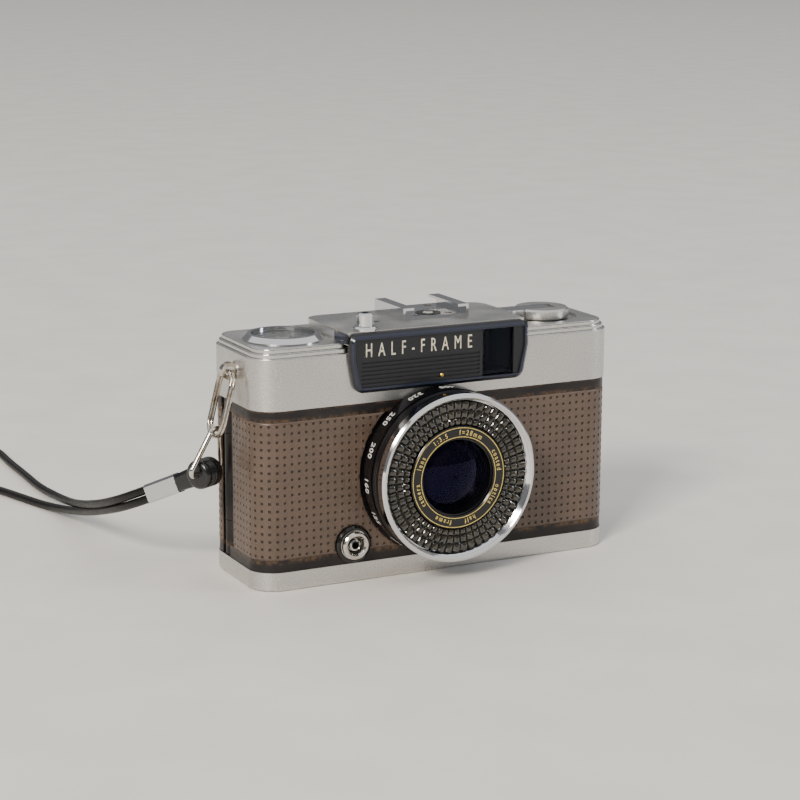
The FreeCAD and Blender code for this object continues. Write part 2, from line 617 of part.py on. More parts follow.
def viewfinder():
    glass = Piece("viewfinder_window")
    glass.pad("XZ", "front_depth", "window_thick - 0.05",
              rect("window_left - 0.55", "window_low - 0.55", "window_right + 0.55",
                   "window_high + 0.55"))
    glass.done()
    tunnel = Piece("viewfinder_block")
    wide = rect("window_left - 0.5", "window_low + 0.2", "window_right + 0.5", "window_high + 0.3")
    narrow = rect(f"{finder_x} - eyepiece_width/2 - 0.3", "eyepiece_z - eyepiece_height/2 - 1",
                  f"{finder_x} + eyepiece_width/2 + 0.3", "eyepiece_z + eyepiece_height/2 + 1")
    tunnel.pad("XZ", "2", "front_depth - 2.3", wide)
    tunnel.pad("XZ", "-(back_depth - 2.7)", "back_depth", narrow)
    hollow = rect("window_left + 0.4", "window_low + 1", "window_right - 0.4", "window_high - 0.6")
    tunnel.pocket("XZ", "3", "front_depth", hollow)
    sight = rect(f"{finder_x} - eyepiece_width/2 + 0.6", "eyepiece_z - eyepiece_height/2",
                 f"{finder_x} + eyepiece_width/2 - 0.6", "eyepiece_z + eyepiece_height/2")
    tunnel.pocket("XZ", "-back_depth", "back_depth + 4", sight)
    tunnel.done()
    frame = Piece("eyepiece_frame")
    outer = rect(f"{finder_x} - eyepiece_width/2 - 2", "eyepiece_z - eyepiece_height/2 - 1.8",
                 f"{finder_x} + eyepiece_width/2 + 2", "eyepiece_z + eyepiece_height/2 + 1.8")
    frame.pad("XZ", "-(back_depth + 1.2)", "1.2", outer)
    frame.round("1.2", [name for name, edge in frame.edges() if abs(edge.Length - 1.2) < 0.01])
    frame.round("0.4", frame.level("back_depth + 1.2", "y"), "Chamfer")
    opening = rect(f"{finder_x} - eyepiece_width/2", "eyepiece_z - eyepiece_height/2",
                   f"{finder_x} + eyepiece_width/2", "eyepiece_z + eyepiece_height/2")
    frame.pocket("XZ", "-(back_depth + 2)", "3", opening)
    frame.done()
    lens = Piece("eyepiece_lens")
    lens.pad("XZ", "-(back_depth + 0.5)", "1.5",
             rect(f"{finder_x} - eyepiece_width/2 + fit_gap", "eyepiece_z - eyepiece_height/2 + fit_gap",
                  f"{finder_x} + eyepiece_width/2 - fit_gap", "eyepiece_z + eyepiece_height/2 - fit_gap"))
    lens.done()


def accessory_shoe():
    shoe = Piece("accessory_shoe")
    outer = "(shoe_inside/2 + shoe_sheet)"
    height = "(2*shoe_sheet + shoe_slot)"
    low = platform_top
    shoe.pad("XY", low, height, rect(f"shoe_x - {outer}", "shoe_front", f"shoe_x + {outer}",
                                     "shoe_front + shoe_length"))
    shoe.pocket("XY", f"{low} + shoe_sheet", "shoe_slot",
                rect("shoe_x - shoe_inside/2", "shoe_front - 1", "shoe_x + shoe_inside/2",
                     "shoe_front + shoe_length + 1"))
    shoe.pocket("XY", f"{low} + shoe_sheet", "shoe_slot + shoe_sheet + 1",
                rect("shoe_x - shoe_inside/2 + shoe_lip", "shoe_front - 1",
                     "shoe_x + shoe_inside/2 - shoe_lip", "shoe_front + shoe_length + 1"))
    shoe.pocket("XY", f"{low} - 1", "shoe_sheet + 2",
                disc("shoe_x", contact_y, "insulator_radius + fit_gap"))
    for x, y in shoe_screws:
        shoe.pocket("XY", f"{low} - 1", "shoe_sheet + 2", disc(x, y, "shoe_screw_radius + fit_gap"))
        shoe.pocket("XY", f"{low} + shoe_sheet - 0.4", "1", disc(x, y, "shoe_screw_head + fit_gap"))
    shoe.done()
    turned("shoe_insulator", "shoe_x", contact_y, low, None,
           [("contact_radius", "0"), ("insulator_radius", "0"), ("insulator_radius", "shoe_sheet + 0.1"),
            ("contact_radius", "shoe_sheet + 0.1")])
    turned("shoe_contact", "shoe_x", contact_y, low, None,
           [("0", "0.02"), ("contact_radius - 0.02", "0.02"),
            ("contact_radius - 0.02", "shoe_sheet + 0.15"), ("contact_radius - 0.5", "shoe_sheet + 0.45"),
            ("0", "shoe_sheet + 0.45")])
    screws_in_shoe = []
    for index, (x, y) in enumerate(shoe_screws):
        screw = Piece(f"shoe_screw_{index}", x, y, low, node=False)
        screw.turn([("0", "-1.6"), ("shoe_screw_radius", "-1.6"),
                    ("shoe_screw_radius", "shoe_sheet - 0.4"), ("shoe_screw_head", "shoe_sheet - 0.4"),
                    ("shoe_screw_head", "shoe_sheet - 0.05"), ("0", "shoe_sheet - 0.05")])
        screw.pocket("XY", "shoe_sheet - 0.3", "1", rect("-1.5", "-0.18", "1.5", "0.18"))
        screws_in_shoe.append(screw.done())
    fuse("shoe_screws", *screws_in_shoe)


def counter():
    turned("counter_ring", "spool_x", "chamber_y", deck, None,
           [("counter_window_radius + 0.1", "0"), ("counter_radius", "0"), ("counter_radius", "0.4"),
            ("counter_radius - 1.3", "counter_height"), ("counter_window_radius - 0.1", "counter_height"),
            ("counter_window_radius - 0.1", "counter_height - 0.5"),
            ("counter_window_radius + 0.1", "counter_height - 0.5")])
    turned("counter_window", "spool_x", "chamber_y", deck, None,
           [("0", "counter_height - 1.3"), ("counter_window_radius", "counter_height - 1.3"),
            ("counter_window_radius", "counter_height - 0.55"), ("0", "counter_height - 0.55")])
    turned("counter_dial", "spool_x", "chamber_y", deck, None,
           [("0", "-4.5"), ("0.8", "-4.5"), ("0.8", "-0.7"), ("counter_window_radius - 0.5", "-0.7"),
            ("counter_window_radius - 0.5", "-0.2"), ("2.2", "-0.2"), ("1.8", "0.15"), ("0", "0.15")])


def shutter_button():
    low = platform_top
    inner = "(button_radius - 0.5)"
    turned("button_collar", "button_x", "button_y", low, None,
           [("button_stem + run_gap", "0"), ("collar_radius", "0"),
            ("collar_radius", "collar_height - 0.5"), ("collar_radius - 0.45", "collar_height"),
            ("button_radius + 0.1", "collar_height"), ("button_radius + 0.1", "0.1"),
            (f"{inner} - 0.1", "0.1"), (f"{inner} - 0.1", "collar_height"),
            ("button_stem + run_gap", "collar_height")])
    turned("shutter_button", "button_x", "button_y", low, None,
           [("cable_radius", "button_rise"), ("cable_radius", "button_rise - cable_depth"),
            ("0", "button_rise - cable_depth"), ("0", "-8"), ("button_stem", "-8"),
            ("button_stem", "-2.2"), ("button_stem + 0.8", "-2.2"), ("button_stem + 0.8", "-1.5"),
            ("button_stem", "-1.5"), ("button_stem", "collar_height + button_travel + 0.1"),
            (inner, "collar_height + button_travel + 0.1"), (inner, "0.15 + button_travel"),
            ("button_radius", "0.15 + button_travel"), ("button_radius", "button_rise - 0.5"),
            ("button_radius - 0.4", "button_rise")])
    spring("button_spring", "button_x", "button_y", "-6.7", "-2.25", "button_stem + 0.45")


def spring(label, x, y, low, high, radius):
    """A coil of square wire between two heights above the platform, a hair short of both."""
    wire = 0.4
    turns = 5
    tall = value(high) - value(low) - wire - 0.04
    coil = Part.Wire(Part.makeHelix(tall / turns, tall, value(radius)))
    inside, outside = value(radius) - wire / 2, value(radius) + wire / 2
    corners = [Vector(inside, 0, -wire / 2), Vector(outside, 0, -wire / 2), Vector(outside, 0, wire / 2),
               Vector(inside, 0, wire / 2)]
    item = doc.addObject("Part::Feature", label)
    item.Label = label
    item.Shape = coil.makePipeShell([Part.makePolygon(corners + corners[:1])], True, True)
    put(item, x, y, f"{platform_top} + {low} + {wire / 2 + 0.02}")
    nodes[label] = item


def rewind():
    """Knob with a folding crank in a slot across it, and the shaft whose fork turns the cassette."""
    low = f"({deck} - well_depth + 0.3)"
    knob = Piece("rewind_knob", "cassette_x", "chamber_y", low)
    knob.turn([("0", "0"), ("knob_radius - 0.3", "0"), ("knob_radius", "0.3"),
               ("knob_radius", "knob_height - 0.5"), ("knob_radius - 0.5", "knob_height"),
               ("0", "knob_height")])
    slot = "knob_height - crank_thick - 0.1"
    knob.pocket("XY", slot, "crank_thick + 1", rect("-knob_radius - 1", "-(crank_width/2 + 0.15)",
                                                    f"{crank_x} + 1.4", "crank_width/2 + 0.15"))
    knob.pad("XZ", "-3.8", "7.6", disc(crank_x, crank_z, "crank_pin_radius"))
    depth = f"({low} - {cover_low} + chamber_wall + 1.5)"
    knob.turn([("0", "0.1"), ("fork_radius", "0.1"), ("fork_radius", f"-{depth}"), ("0", f"-{depth}")])
    knob.pad("XY", f"-{depth} - 3", "3.1", rect("-2.4", "-0.6", "2.4", "0.6"))
    knob.done()
    crank = Piece("rewind_crank", f"cassette_x + {crank_x}", "chamber_y", f"{low} + {crank_z}")
    tip = f"(-(knob_radius + crank_over + {crank_x} - 1.9))"
    half = "(crank_thick/2 - 0.05)"
    crank.pad("XY", f"-{half}", f"2*{half}", rect(f"{tip} + 0.5", "-crank_width/2", "0", "crank_width/2"))
    crank.pad("XY", f"-{half}", f"2*{half}", disc(tip, "0", "crank_width/2"))
    crank.pad("XZ", "-crank_width/2", "crank_width", disc("0", "0", half))
    crank.pad("XY", f"-{half} - 1", "1.2", disc(tip, "0", "1.7"))
    crank.pocket("XZ", "-4", "8", disc("0", "0", "crank_pin_radius + run_gap - 0.02"))
    crank.done()


def advance():
    wheel = Piece("advance_wheel", "wheel_x", wheel_y, wheel_low)
    wheel.turn([("pivot_radius + run_gap", "0"), ("wheel_radius - 0.4", "0"), ("wheel_radius", "0.4"),
                ("wheel_radius", "wheel_thick - 0.4"), ("wheel_radius - 0.4", "wheel_thick"),
                ("pivot_radius + run_gap", "wheel_thick")])
    wheel.done()
    gear = "(sqrt((sprocket_x - wheel_x)^2 + (sprocket_y - " + wheel_y + ")^2) - wheel_radius - 0.1)"
    film = f"(lens_z - {chamber_low})"
    turned("sprocket_shaft", "sprocket_x", "sprocket_y", chamber_low, None,
           [("0", "-0.8"), ("pivot_radius", "-0.8"), ("pivot_radius", "0.3"),
            ("sprocket_radius - 0.7", "0.3"), ("sprocket_radius - 0.7", f"{film} - 15.1"),
            ("sprocket_radius", f"{film} - 14.7"), ("sprocket_radius", f"{film} - 13.3"),
            ("sprocket_radius - 0.7", f"{film} - 12.9"), ("sprocket_radius - 0.7", f"{film} + 12.9"),
            ("sprocket_radius", f"{film} + 13.3"), ("sprocket_radius", f"{film} + 14.7"),
            ("sprocket_radius - 0.7", f"{film} + 15.1"),
            ("sprocket_radius - 0.7", f"{chamber_height} - 0.3"),
            ("pivot_radius", f"{chamber_height} - 0.3"),
            ("pivot_radius", f"{chamber_height} + chamber_wall + 1"),
            (gear, f"{chamber_height} + chamber_wall + 1"),
            (gear, f"{chamber_height} + chamber_wall + 2.6"),
            ("0", f"{chamber_height} + chamber_wall + 2.6")])
    spool = Piece("takeup_spool", "spool_x", "chamber_y", chamber_low)
    spool.turn([("0", "-0.8"), ("pivot_radius", "-0.8"), ("pivot_radius", "0.3"), ("spool_flange", "0.3"),
                ("spool_flange", "1.5"), ("spool_core", "1.5"), ("spool_core", f"{chamber_height} - 1.5"),
                ("spool_flange", f"{chamber_height} - 1.5"), ("spool_flange", f"{chamber_height} - 0.3"),
                ("pivot_radius", f"{chamber_height} - 0.3"),
                ("pivot_radius", f"{chamber_height} + chamber_wall + 0.5"),
                ("0", f"{chamber_height} + chamber_wall + 0.5")])
    for start in ("spool_core - 2", "-spool_core - 1"):
        spool.pocket("YZ", start, "3", rect("-0.8", "8", "0.8", f"{chamber_height} - 8"))
    spool.done()
    turned("rewind_release", "sprocket_x", "sprocket_y", "0", None,
           [("0", "0.3"), ("release_radius - 0.3", "0.3"), ("release_radius", "0.6"),
            ("release_radius", "shell_wall + 0.1"), ("release_radius + 0.8", "shell_wall + 0.1"),
            ("release_radius + 0.8", "shell_wall + 0.8"), ("release_radius - 0.4", "shell_wall + 0.8"),
            ("release_radius - 0.4", "base_height - 1.6"), ("0", "base_height - 1.6")])
    turned("tripod_bush", "0", "0", "0", None, [("thread_radius", "0"), ("bush_radius", "0"),
                                                ("bush_radius", "base_height"), ("0", "base_height"),
                                                ("0", "thread_depth"), ("thread_radius", "thread_depth")])
    heads = []
    for index, (x, y) in enumerate(screws):
        screw = Piece(f"base_screw_{index}", x, y, "0", node=False)
        screw.turn([("0", "0.05"), ("screw_head_radius", "0.05"), ("screw_head_radius", "screw_head"),
                    ("screw_radius", "screw_head"), ("screw_radius", "base_height + 2.8"),
                    ("0", "base_height + 2.8")])
        screw.pocket("XY", "-1", "1.35", rect("-3", "-0.25", "3", "0.25"))
        heads.append(screw.done())
    fuse("base_screws", *heads)


def around_lens(label, *profile):
    """A piece turned about the lens axis; heights run forward from the tripod socket."""
    return turned(label, "lens_x", "0", "lens_z", FORWARD, list(profile))


def lens():
    rim_back = "(lens_reach - rim_length)"
    aperture_back = f"({rim_back} - ring_gap/2 - aperture_length)"
    speed_back = "(front_depth + 0.3)"
    cell_seat = f"({rim_back} - 1.3)"
    around_lens("shutter_housing", ("rear_lens_radius + fit_gap", "housing_back"),
                ("housing_radius", "housing_back"), ("housing_radius", "front_depth + 0.05"),
                ("tube_radius", "front_depth + 0.05"), ("tube_radius", rim_back), ("tube_bore", rim_back),
                ("tube_bore", cell_seat), ("tube_radius - 3.4", cell_seat),
                ("tube_radius - 3.4", "housing_back + 1.8"),
                ("rear_lens_radius + fit_gap", "housing_back + 1.8"))
    around_lens("speed_ring", ("tube_radius + run_gap", speed_back), ("rim_radius", speed_back),
                ("rim_radius", f"{aperture_back} - ring_gap"),
                ("tube_radius + run_gap", f"{aperture_back} - ring_gap"))
    around_lens("aperture_ring", ("tube_radius + run_gap", aperture_back),
                ("rim_radius - 0.5", aperture_back), ("rim_radius - 0.2", f"{aperture_back} + 0.3"),
                ("rim_radius - 0.2", f"{aperture_back} + 1"),
                ("rim_radius - 0.5", f"{aperture_back} + 1.2"),
                ("rim_radius - 0.2", f"{aperture_back} + 1.4"),
                ("rim_radius - 0.2", f"{aperture_back} + 2"),
                ("rim_radius - 0.5", f"{aperture_back} + 2.2"),
                ("rim_radius - 0.2", f"{aperture_back} + 2.4"),
                ("rim_radius - 0.2", f"{rim_back} - ring_gap/2"),
                ("tube_radius + run_gap", f"{rim_back} - ring_gap/2"))
    around_lens("filter_rim", ("tube_bore", rim_back), ("rim_radius - 0.3", rim_back),
                ("rim_radius", f"{rim_back} + 0.3"), ("rim_radius", "lens_reach - 0.5"),
                ("rim_radius - 0.5", "lens_reach"), ("filter_radius + 0.3", "lens_reach"),
                ("filter_radius", "lens_reach - 0.3"), ("filter_radius", f"{rim_back} + 0.5"),
                ("tube_bore", f"{rim_back} + 0.5"))
    around_lens("cell_window", ("barrel_radius + fit_gap", f"{rim_back} + 0.5"),
                ("filter_radius - 0.4", f"{rim_back} + 0.5"),
                ("filter_radius - 0.4", f"{rim_back} + 1.4"), ("filter_radius - 1", f"{rim_back} + 1.8"),
                ("barrel_radius + fit_gap", f"{rim_back} + 1.8"))
    around_lens("selenium_cell", ("barrel_radius + 0.4", cell_seat), ("tube_bore - fit_gap", cell_seat),
                ("tube_bore - fit_gap", f"{cell_seat} + 0.9"),
                ("barrel_radius + 0.4", f"{cell_seat} + 0.9"))
    plate = "(housing_back + 6)"
    name_back = "(lens_reach - 1.9)"
    around_lens("lens_barrel", ("shutter_hole + 0.6", f"{plate} + 5"), ("barrel_radius", f"{plate} + 5"),
                ("barrel_radius", name_back), ("front_lens_radius + fit_gap", name_back),
                ("front_lens_radius + fit_gap", f"{name_back} - 3.2"),
                ("front_lens_radius - 1", f"{name_back} - 3.2"))
    around_lens("name_ring", ("name_ring_bore", f"{name_back}"), ("barrel_radius", name_back),
                ("barrel_radius", f"{name_back} + 0.7"), ("barrel_radius - 0.2", f"{name_back} + 0.9"),
                ("name_ring_bore + 0.3", f"{name_back} + 0.9"), ("name_ring_bore", f"{name_back} + 0.6"))
    glass("front_lens", "front_lens_radius", f"{name_back} - 3.15", "2.6", "24")
    glass("rear_lens", "rear_lens_radius", "housing_back - 0.6", "2.2", "-30")
    disc_plate = Piece("shutter_plate", "lens_x", "0", "lens_z", FORWARD)
    disc_plate.pad("XY", plate, "1.2", disc("0", "0", "tube_radius - 3.45"))
    disc_plate.pocket("XY", f"{plate} - 1", "4", disc("0", "0", "shutter_hole"))
    for sign in ("", "-"):
        disc_plate.pad("XY", f"{plate} - 1.2", "3.6", disc(f"{sign}blade_reach", "0", "blade_pin"))
    disc_plate.done()
    layers = [("shutter_blade_a", "", "1.35"), ("shutter_blade_b", "-", "1.35 + blade_thick + 0.15"),
              ("diaphragm_blade_a", "", "-0.15 - blade_thick"),
              ("diaphragm_blade_b", "-", "-0.3 - 2*blade_thick")]
    for label, sign, layer in layers:
        blade = Piece(label, "lens_x", "0", "lens_z", FORWARD)
        level = f"{plate} + {layer}"
        blade.pad("XY", level, "blade_thick", disc(f"{sign}0.5", "0", "shutter_hole + 0.4"))
        arm = rect(f"{sign}3", "-1.4", f"{sign}blade_reach", "1.4")
        blade.pad("XY", level, "blade_thick", arm)
        blade.pad("XY", level, "blade_thick", disc(f"{sign}blade_reach", "0", "1.4"))
        blade.pocket("XY", f"{level} - 1", "2", disc(f"{sign}blade_reach", "0", "blade_pin + run_gap"))
        blade.done()


def glass(label, radius, back, thick, curve):
    """A lens element: a disc cut to a sphere on its front face (or on its back, for a negative curve)."""
    rim = shape("Cylinder", label + "_blank", Radius=radius, Height=thick)
    ball = shape("Sphere", label + "_ball", Radius=f"abs({curve})")
    ball.setExpression("Placement.Base.z",
                       in_sheet(f"{thick} - {curve}" if not curve.startswith("-") else f"abs({curve})"))
    item = doc.addObject("Part::Common", label)
    item.Label = label
    item.Base = rim
    item.Tool = ball
    item.Placement = Placement(Vector(value("lens_x"), -value(back), value("lens_z")), FORWARD)
    for axis, text in (("x", "lens_x"), ("y", f"-({back})"), ("z", "lens_z")):
        bind(item, f"Placement.Base.{axis}", text)
    nodes[label] = item


def film_gate():
    gate = Piece("film_gate")
    edge = "(gate_seat - 0.1)"
    gate.pad("XZ", "-(casting_back - 0.15)", "gate_thick",
             rect(f"lens_x - {edge}", f"lens_z - {edge} + 3", f"lens_x + {edge}", f"lens_z + {edge} - 3"))
    gate.pocket("XZ", "-casting_back - 1", "4", rect("lens_x - gate_width/2", "lens_z - gate_height/2",
                                                     "lens_x + gate_width/2", "lens_z + gate_height/2"))
    for sign in ("-", ""):
        gate.pad("XZ", "-(casting_back + 0.1)", "0.5",
                 rect(f"lens_x - {edge}", f"lens_z + ({sign}13.2) - 0.5", f"lens_x + {edge}",
                      f"lens_z + ({sign}13.2) + 0.5"))
    gate.done()


def sync_socket():
    back = f"(front_depth - {leather_face})"

    def part(label, *profile):
        turned(label, "sync_x", "0", "sync_z", FORWARD, list(profile))
    part("sync_collar", ("sync_radius - 1.4", back), ("sync_collar_radius", back),
         ("sync_collar_radius", "front_depth + 0.6"), ("sync_collar_radius - 0.5", "front_depth + 1"),
         ("sync_radius", "front_depth + 1"), ("sync_radius", "front_depth + 2.1"),
         ("sync_radius - 0.4", "front_depth + 2.5"), ("sync_radius - 1", "front_depth + 2.5"),
         ("sync_radius - 1.4", "front_depth + 2"))
    part("sync_pin", ("0", back), ("sync_radius - 1.43", back),
         ("sync_radius - 1.43", "front_depth + 0.2"), ("1.6", "front_depth + 0.2"),
         ("1.6", "front_depth + 1.4"), ("1", "front_depth + 1.6"), ("1", "front_depth - 0.2"),
         ("0", "front_depth - 0.2"))


def leatherette(label, sign):
    """One front covering: a curved sheet in the casting's recess, cut round the lens."""
    piece = Piece(label)
    outer = f"({leather_face} - leather_thick)"
    front = f"-(front_depth - {outer})"
    inner = f"-(front_depth - {leather_face})"
    low, high = leather_low, leather_height
    edge, near = f"({sign}({side} - {outer}))", f"({sign}2)"
    wall = f"({sign}({side} - {leather_face}))"
    for make, start, tall, place, front, edge, end in (
        (piece.pad, low, high, outer, front, edge, "leather_end"),
        (piece.pocket, f"{low} - 1", f"{high} + 2", leather_face, inner, wall, "leather_end + 1"),
    ):
        corner = (edge, front, f"front_corner - {place}")
        make("XY", start, tall, [(near, front), corner, (edge, end), (near, end)])
    piece.pocket("XZ", "0", "front_depth + 1", disc("lens_x", "lens_z", "rim_radius + 0.6"))
    if sign:
        piece.pocket("XZ", "0", "front_depth + 1", disc("sync_x", "sync_z",
                                                        "sync_collar_radius + fit_gap"))
    piece.done()


def back_door():
    low = f"(base_height + door_gap - 0.05)"
    high = f"({cover_low} - door_gap + 0.05)"
    start = "(casting_back + door_gap)"
    door = Piece("back_door")
    for floor, ceiling, inset in ((low, leather_low, "strip_inset"),
                                  (leather_low, leather_high, leather_face),
                                  (leather_high, high, "strip_inset")):
        back = f"back_depth - {inset}"
        door.pad("XY", floor, f"{ceiling} - {floor}",
                 outline(inset, start, back, None, f"back_corner - {inset}"))
    inner = f"({leather_face} + 1.2)"
    door.pocket("XY", f"{low} + 1", f"{high} - {low} - 2",
                outline(inner, f"{start} - 1", f"back_depth - {leather_face} - 0.9", None,
                        f"back_corner - {inner}"))
    knuckle_low = f"({hinge_low} + knuckle_length + 0.15)"
    length = f"({hinge_high} - {hinge_low} - 2*knuckle_length - 0.3)"
    door.pad("XY", knuckle_low, length, rect(f"-{side} + strip_inset + leather_depth", "hinge_y + 0.8",
                                             f"{hinge_line} + 0.6", f"{start} + 0.5"))
    door.pad("XY", knuckle_low, length, disc(hinge_line, "hinge_y", "knuckle_radius"))
    door.pocket("XY", f"{knuckle_low} - 1", f"{length} + 2",
                disc(hinge_line, "hinge_y", "hinge_pin_radius + run_gap"))
    door.done()
    pin = shape("Cylinder", "hinge_pin", node=True, Radius="hinge_pin_radius",
                Height=f"{hinge_high} - {hinge_low}")
    put(pin, hinge_line, "hinge_y", hinge_low)
    skin = Piece("back_leatherette")
    outer = f"({leather_face} - leather_thick)"
    skin.pad("XY", leather_low, leather_height,
             outline(outer, start, f"back_depth - {outer}", None, f"back_corner - {outer}"))
    skin.pocket("XY", f"{leather_low} - 1", f"{leather_height} + 2",
                outline(leather_face, f"{start} - 1", f"back_depth - {leather_face}", None,
                        f"back_corner - {leather_face}"))
    skin.pocket("YZ", f"{side} - 4", "5", rect(f"{start} - 1", "latch_z - 8", "latch_y + 2.2",
                                               "latch_z + 8"))
    skin.done()
    latch = Piece("door_latch")
    inside, outside = f"({side} - {leather_face} + 0.05)", f"({side} + 0.8)"
    latch.pad("YZ", inside, f"{outside} - {inside}",
              rect("latch_y - 1.6", "latch_z - 7.5", "latch_y + 1.7", "latch_z + 3.5"))
    latch.round("0.5", latch.level(outside, "x"))
    latch.done()
    plate = Piece("pressure_plate")
    plate.pad("XZ", "-(casting_back + 1.4)", "1", rect("lens_x - 18", "lens_z - 15.5", "lens_x + 18",
                                                       "lens_z + 15.5"))
    plate.round("2", [name for name, edge in plate.edges() if abs(edge.Length - 1) < 0.01])
    plate.done()
    leaf = Piece("pressure_spring")
    wall = f"(back_depth - {leather_face} - 0.9)"
    crest = "(casting_back + 1.4 + plate_travel + 0.1)"
    path = [("-14", wall), ("-13", wall), ("-4", f"{crest} + 0.25"), ("4", f"{crest} + 0.25"),
            ("13", wall), ("14", wall), ("14", f"{wall} - 0.25"), ("12.9", f"{wall} - 0.25"),
            ("4", crest), ("-4", crest), ("-12.9", f"{wall} - 0.25"), ("-14", f"{wall} - 0.25")]
    leaf.pad("XY", "lens_z - 4", "8", [(f"lens_x + ({x})", y) for x, y in path])
    leaf.done()


def strap_lug(label, sign):
    """Flat eye on a short stem that is riveted through the cover's side."""
    piece = Piece(label, f"{sign}({side} + lug_out)", "lug_y", "lug_z", TO_RIGHT if sign else TO_LEFT)
    piece.pad("XZ", "-1", "2", disc("0", "0", "eye_radius"))
    piece.pad("XY", "eye_bore + 0.4", "lug_out + shell_wall - eye_bore", disc("0", "0", "lug_stem"))
    piece.pad("XY", "lug_out - 0.4", "0.4", disc("0", "0", "lug_stem + 1"))
    piece.pocket("XZ", "-3", "6", disc("0", "0", "eye_bore"))
    piece.done()


def strap_link():
    """Long wire loop hanging from the lug: two half rings and two straight sides."""
    ends = []
    for label, angle, z in (("upper", 0, "-link_bend"), ("lower", 180, "-(link_bend + link_straight)")):
        bend = shape("Torus", f"link_{label}_bend", Radius1="link_bend", Radius2="link_wire")
        bend.Angle3 = 180
        put(bend, z=z, rotation=Rotation(Vector(0, 0, 1), 90) * Rotation(Vector(1, 0, 0), 90 + angle))
        ends.append(bend)
    for sign in ("", "-"):
        wire = shape("Cylinder", "link_side", Radius="link_wire", Height="link_straight")
        put(wire, "0", f"{sign}link_bend", "-(link_bend + link_straight)")
        ends.append(wire)
    link = fuse("strap_link", *ends)
    put(link, f"-({side} + lug_out)", "lug_y", "lug_z", Rotation(Vector(0, 1, 0), value("link_tilt")))


def tube(points, radius, bends, closed=False):
    """A round tube along straight runs joined by tangent arcs; bends gives each corner's arc radius."""
    count = len(points)
    corners = range(count) if closed else range(1, count - 1)
    edges = []
    last = None if closed else points[0]
    first = None
    for index in corners:
        before, here, after = points[index - 1], points[index], points[(index + 1) % count]
        back = (before - here).normalize()
        on = (after - here).normalize()
        half_turn = (math.pi - back.getAngle(on)) / 2
        setback = bends[index] * math.tan(half_turn)
        start = here + back * setback
        end = here + on * setback
        middle_way = (back + on).normalize()
        centre = here + middle_way * (bends[index] / math.cos(half_turn))
        middle = centre - middle_way * bends[index]
        if last is not None:
            edges.append(Part.LineSegment(last, start).toShape())
        else:
            first = start
        edges.append(Part.Arc(start, middle, end).toShape())
        last = end
    edges.append(Part.LineSegment(last, first if closed else points[-1]).toShape())
    path = Part.Wire(edges)
    along = edges[0].tangentAt(edges[0].FirstParameter)
    begin = edges[0].valueAt(edges[0].FirstParameter)
    section = Part.Wire([Part.makeCircle(radius, begin, along)])
    return path.makePipeShell([section], True, False), path.Length


def route_bends(points):
    """Each corner's arc radius: 0.45 of the shorter run over the tangent of half the turn."""
    bends = {}
    for index in range(1, len(points) - 1):
        back = points[index - 1] - points[index]
        on = points[index + 1] - points[index]
        half_turn = (math.pi - back.getAngle(on)) / 2
        bends[index] = 0.45 * min(back.Length, on.Length) / math.tan(half_turn)
    return bends


def solid(label, form):
    item = doc.addObject("Part::Feature", label)
    item.Label = label
    item.Shape = form
    nodes[label] = item
    return item


def strap():
    """Ring, end loop, crimp and cord. They hang from the link, so they follow the lug and the cover."""
    shift = Vector(value(f"-({side} + lug_out)") + 56.3, value("lug_y") + 0.5, value("lug_z") - 58.3)
    along = Vector(0.864, 0.503, 0).normalize()
    away = Vector(-0.46, 0.789, -0.407)
    away = (away - along * away.dot(along)).normalize()
    upward = along.cross(away)
    bar = Vector(-63.3, 0, 31) + shift
    wire = value("ring_wire")
    tilt = math.radians(value("link_tilt"))
    long = value("2*link_bend + link_straight")
    hang = Vector(-56.3 - long * math.sin(tilt), -0.5, 58.3 - long * math.cos(tilt)) + shift
    rise = (hang - bar).normalize()
    bend = wire + value("link_wire") + 0.75
    half_angle = math.radians(24.6)
    height = (hang - bar).Length - 0.1 + bend / math.sin(half_angle)
    half_base = height * math.tan(half_angle)
    corners = [bar + rise * height, bar - along * half_base, bar + along * half_base]
    ring, length = tube(corners, wire, [bend, 1.5, 1.5], closed=True)
    solid("strap_ring", ring)
    cord = value("cord_diameter")
    loop = Part.makeCylinder(4, 7, bar - along * 3.5, along)
    loop = loop.makeFillet(1.3, [edge for edge in loop.Edges if edge.Length > 12 and edge.Closed])
    neck = block(bar + away * 1, along, away, upward, 3.4, 8.6, 5)
    hole = Part.makeCylinder(wire + 0.04, 20, bar - along * 10, along)
    solid("strap_end_loop", loop.fuse(neck).cut(hole).removeSplitter())
    crimp = block(bar + away * 9.6, along, away, upward, 3.2, 11.4, 5.3)
    long_edges = [edge for edge in crimp.Edges if edge.Length > 11]
    solid("strap_crimp", crimp.makeFillet(0.9, long_edges))
    mouth = bar + away * 21
    start = mouth + upward * (cord / 2 + 0.05)
    finish = mouth - upward * (cord / 2 + 0.05)
    points = [start, start + away * 9] + [Vector(*place) for place in CORD_ROUTE] + [finish + away * 9,
                                                                                     finish]
    bends = route_bends(points)
    form, length = tube(points, cord / 2, bends)
    print("cord", round(length, 1), "mm long, radii", [round(radius, 1) for radius in bends.values()])
    print("cord volume over section times length", round(form.Volume / (math.pi * cord ** 2 / 4 * length),
                                                         4))
    solid("strap_cord", form)


def block(start, across, along, up, width, length, height):
    """A box with its first face centred on start, standing along its own three directions."""
    corner = start - across * (width / 2) - up * (height / 2)
    box = Part.makeBox(width, length, height)
    turn = FreeCAD.Matrix(across.x, along.x, up.x, corner.x, across.y, along.y, up.y, corner.y,
                          across.z, along.z, up.z, corner.z, 0, 0, 0, 1)
    return box.transformGeometry(turn)


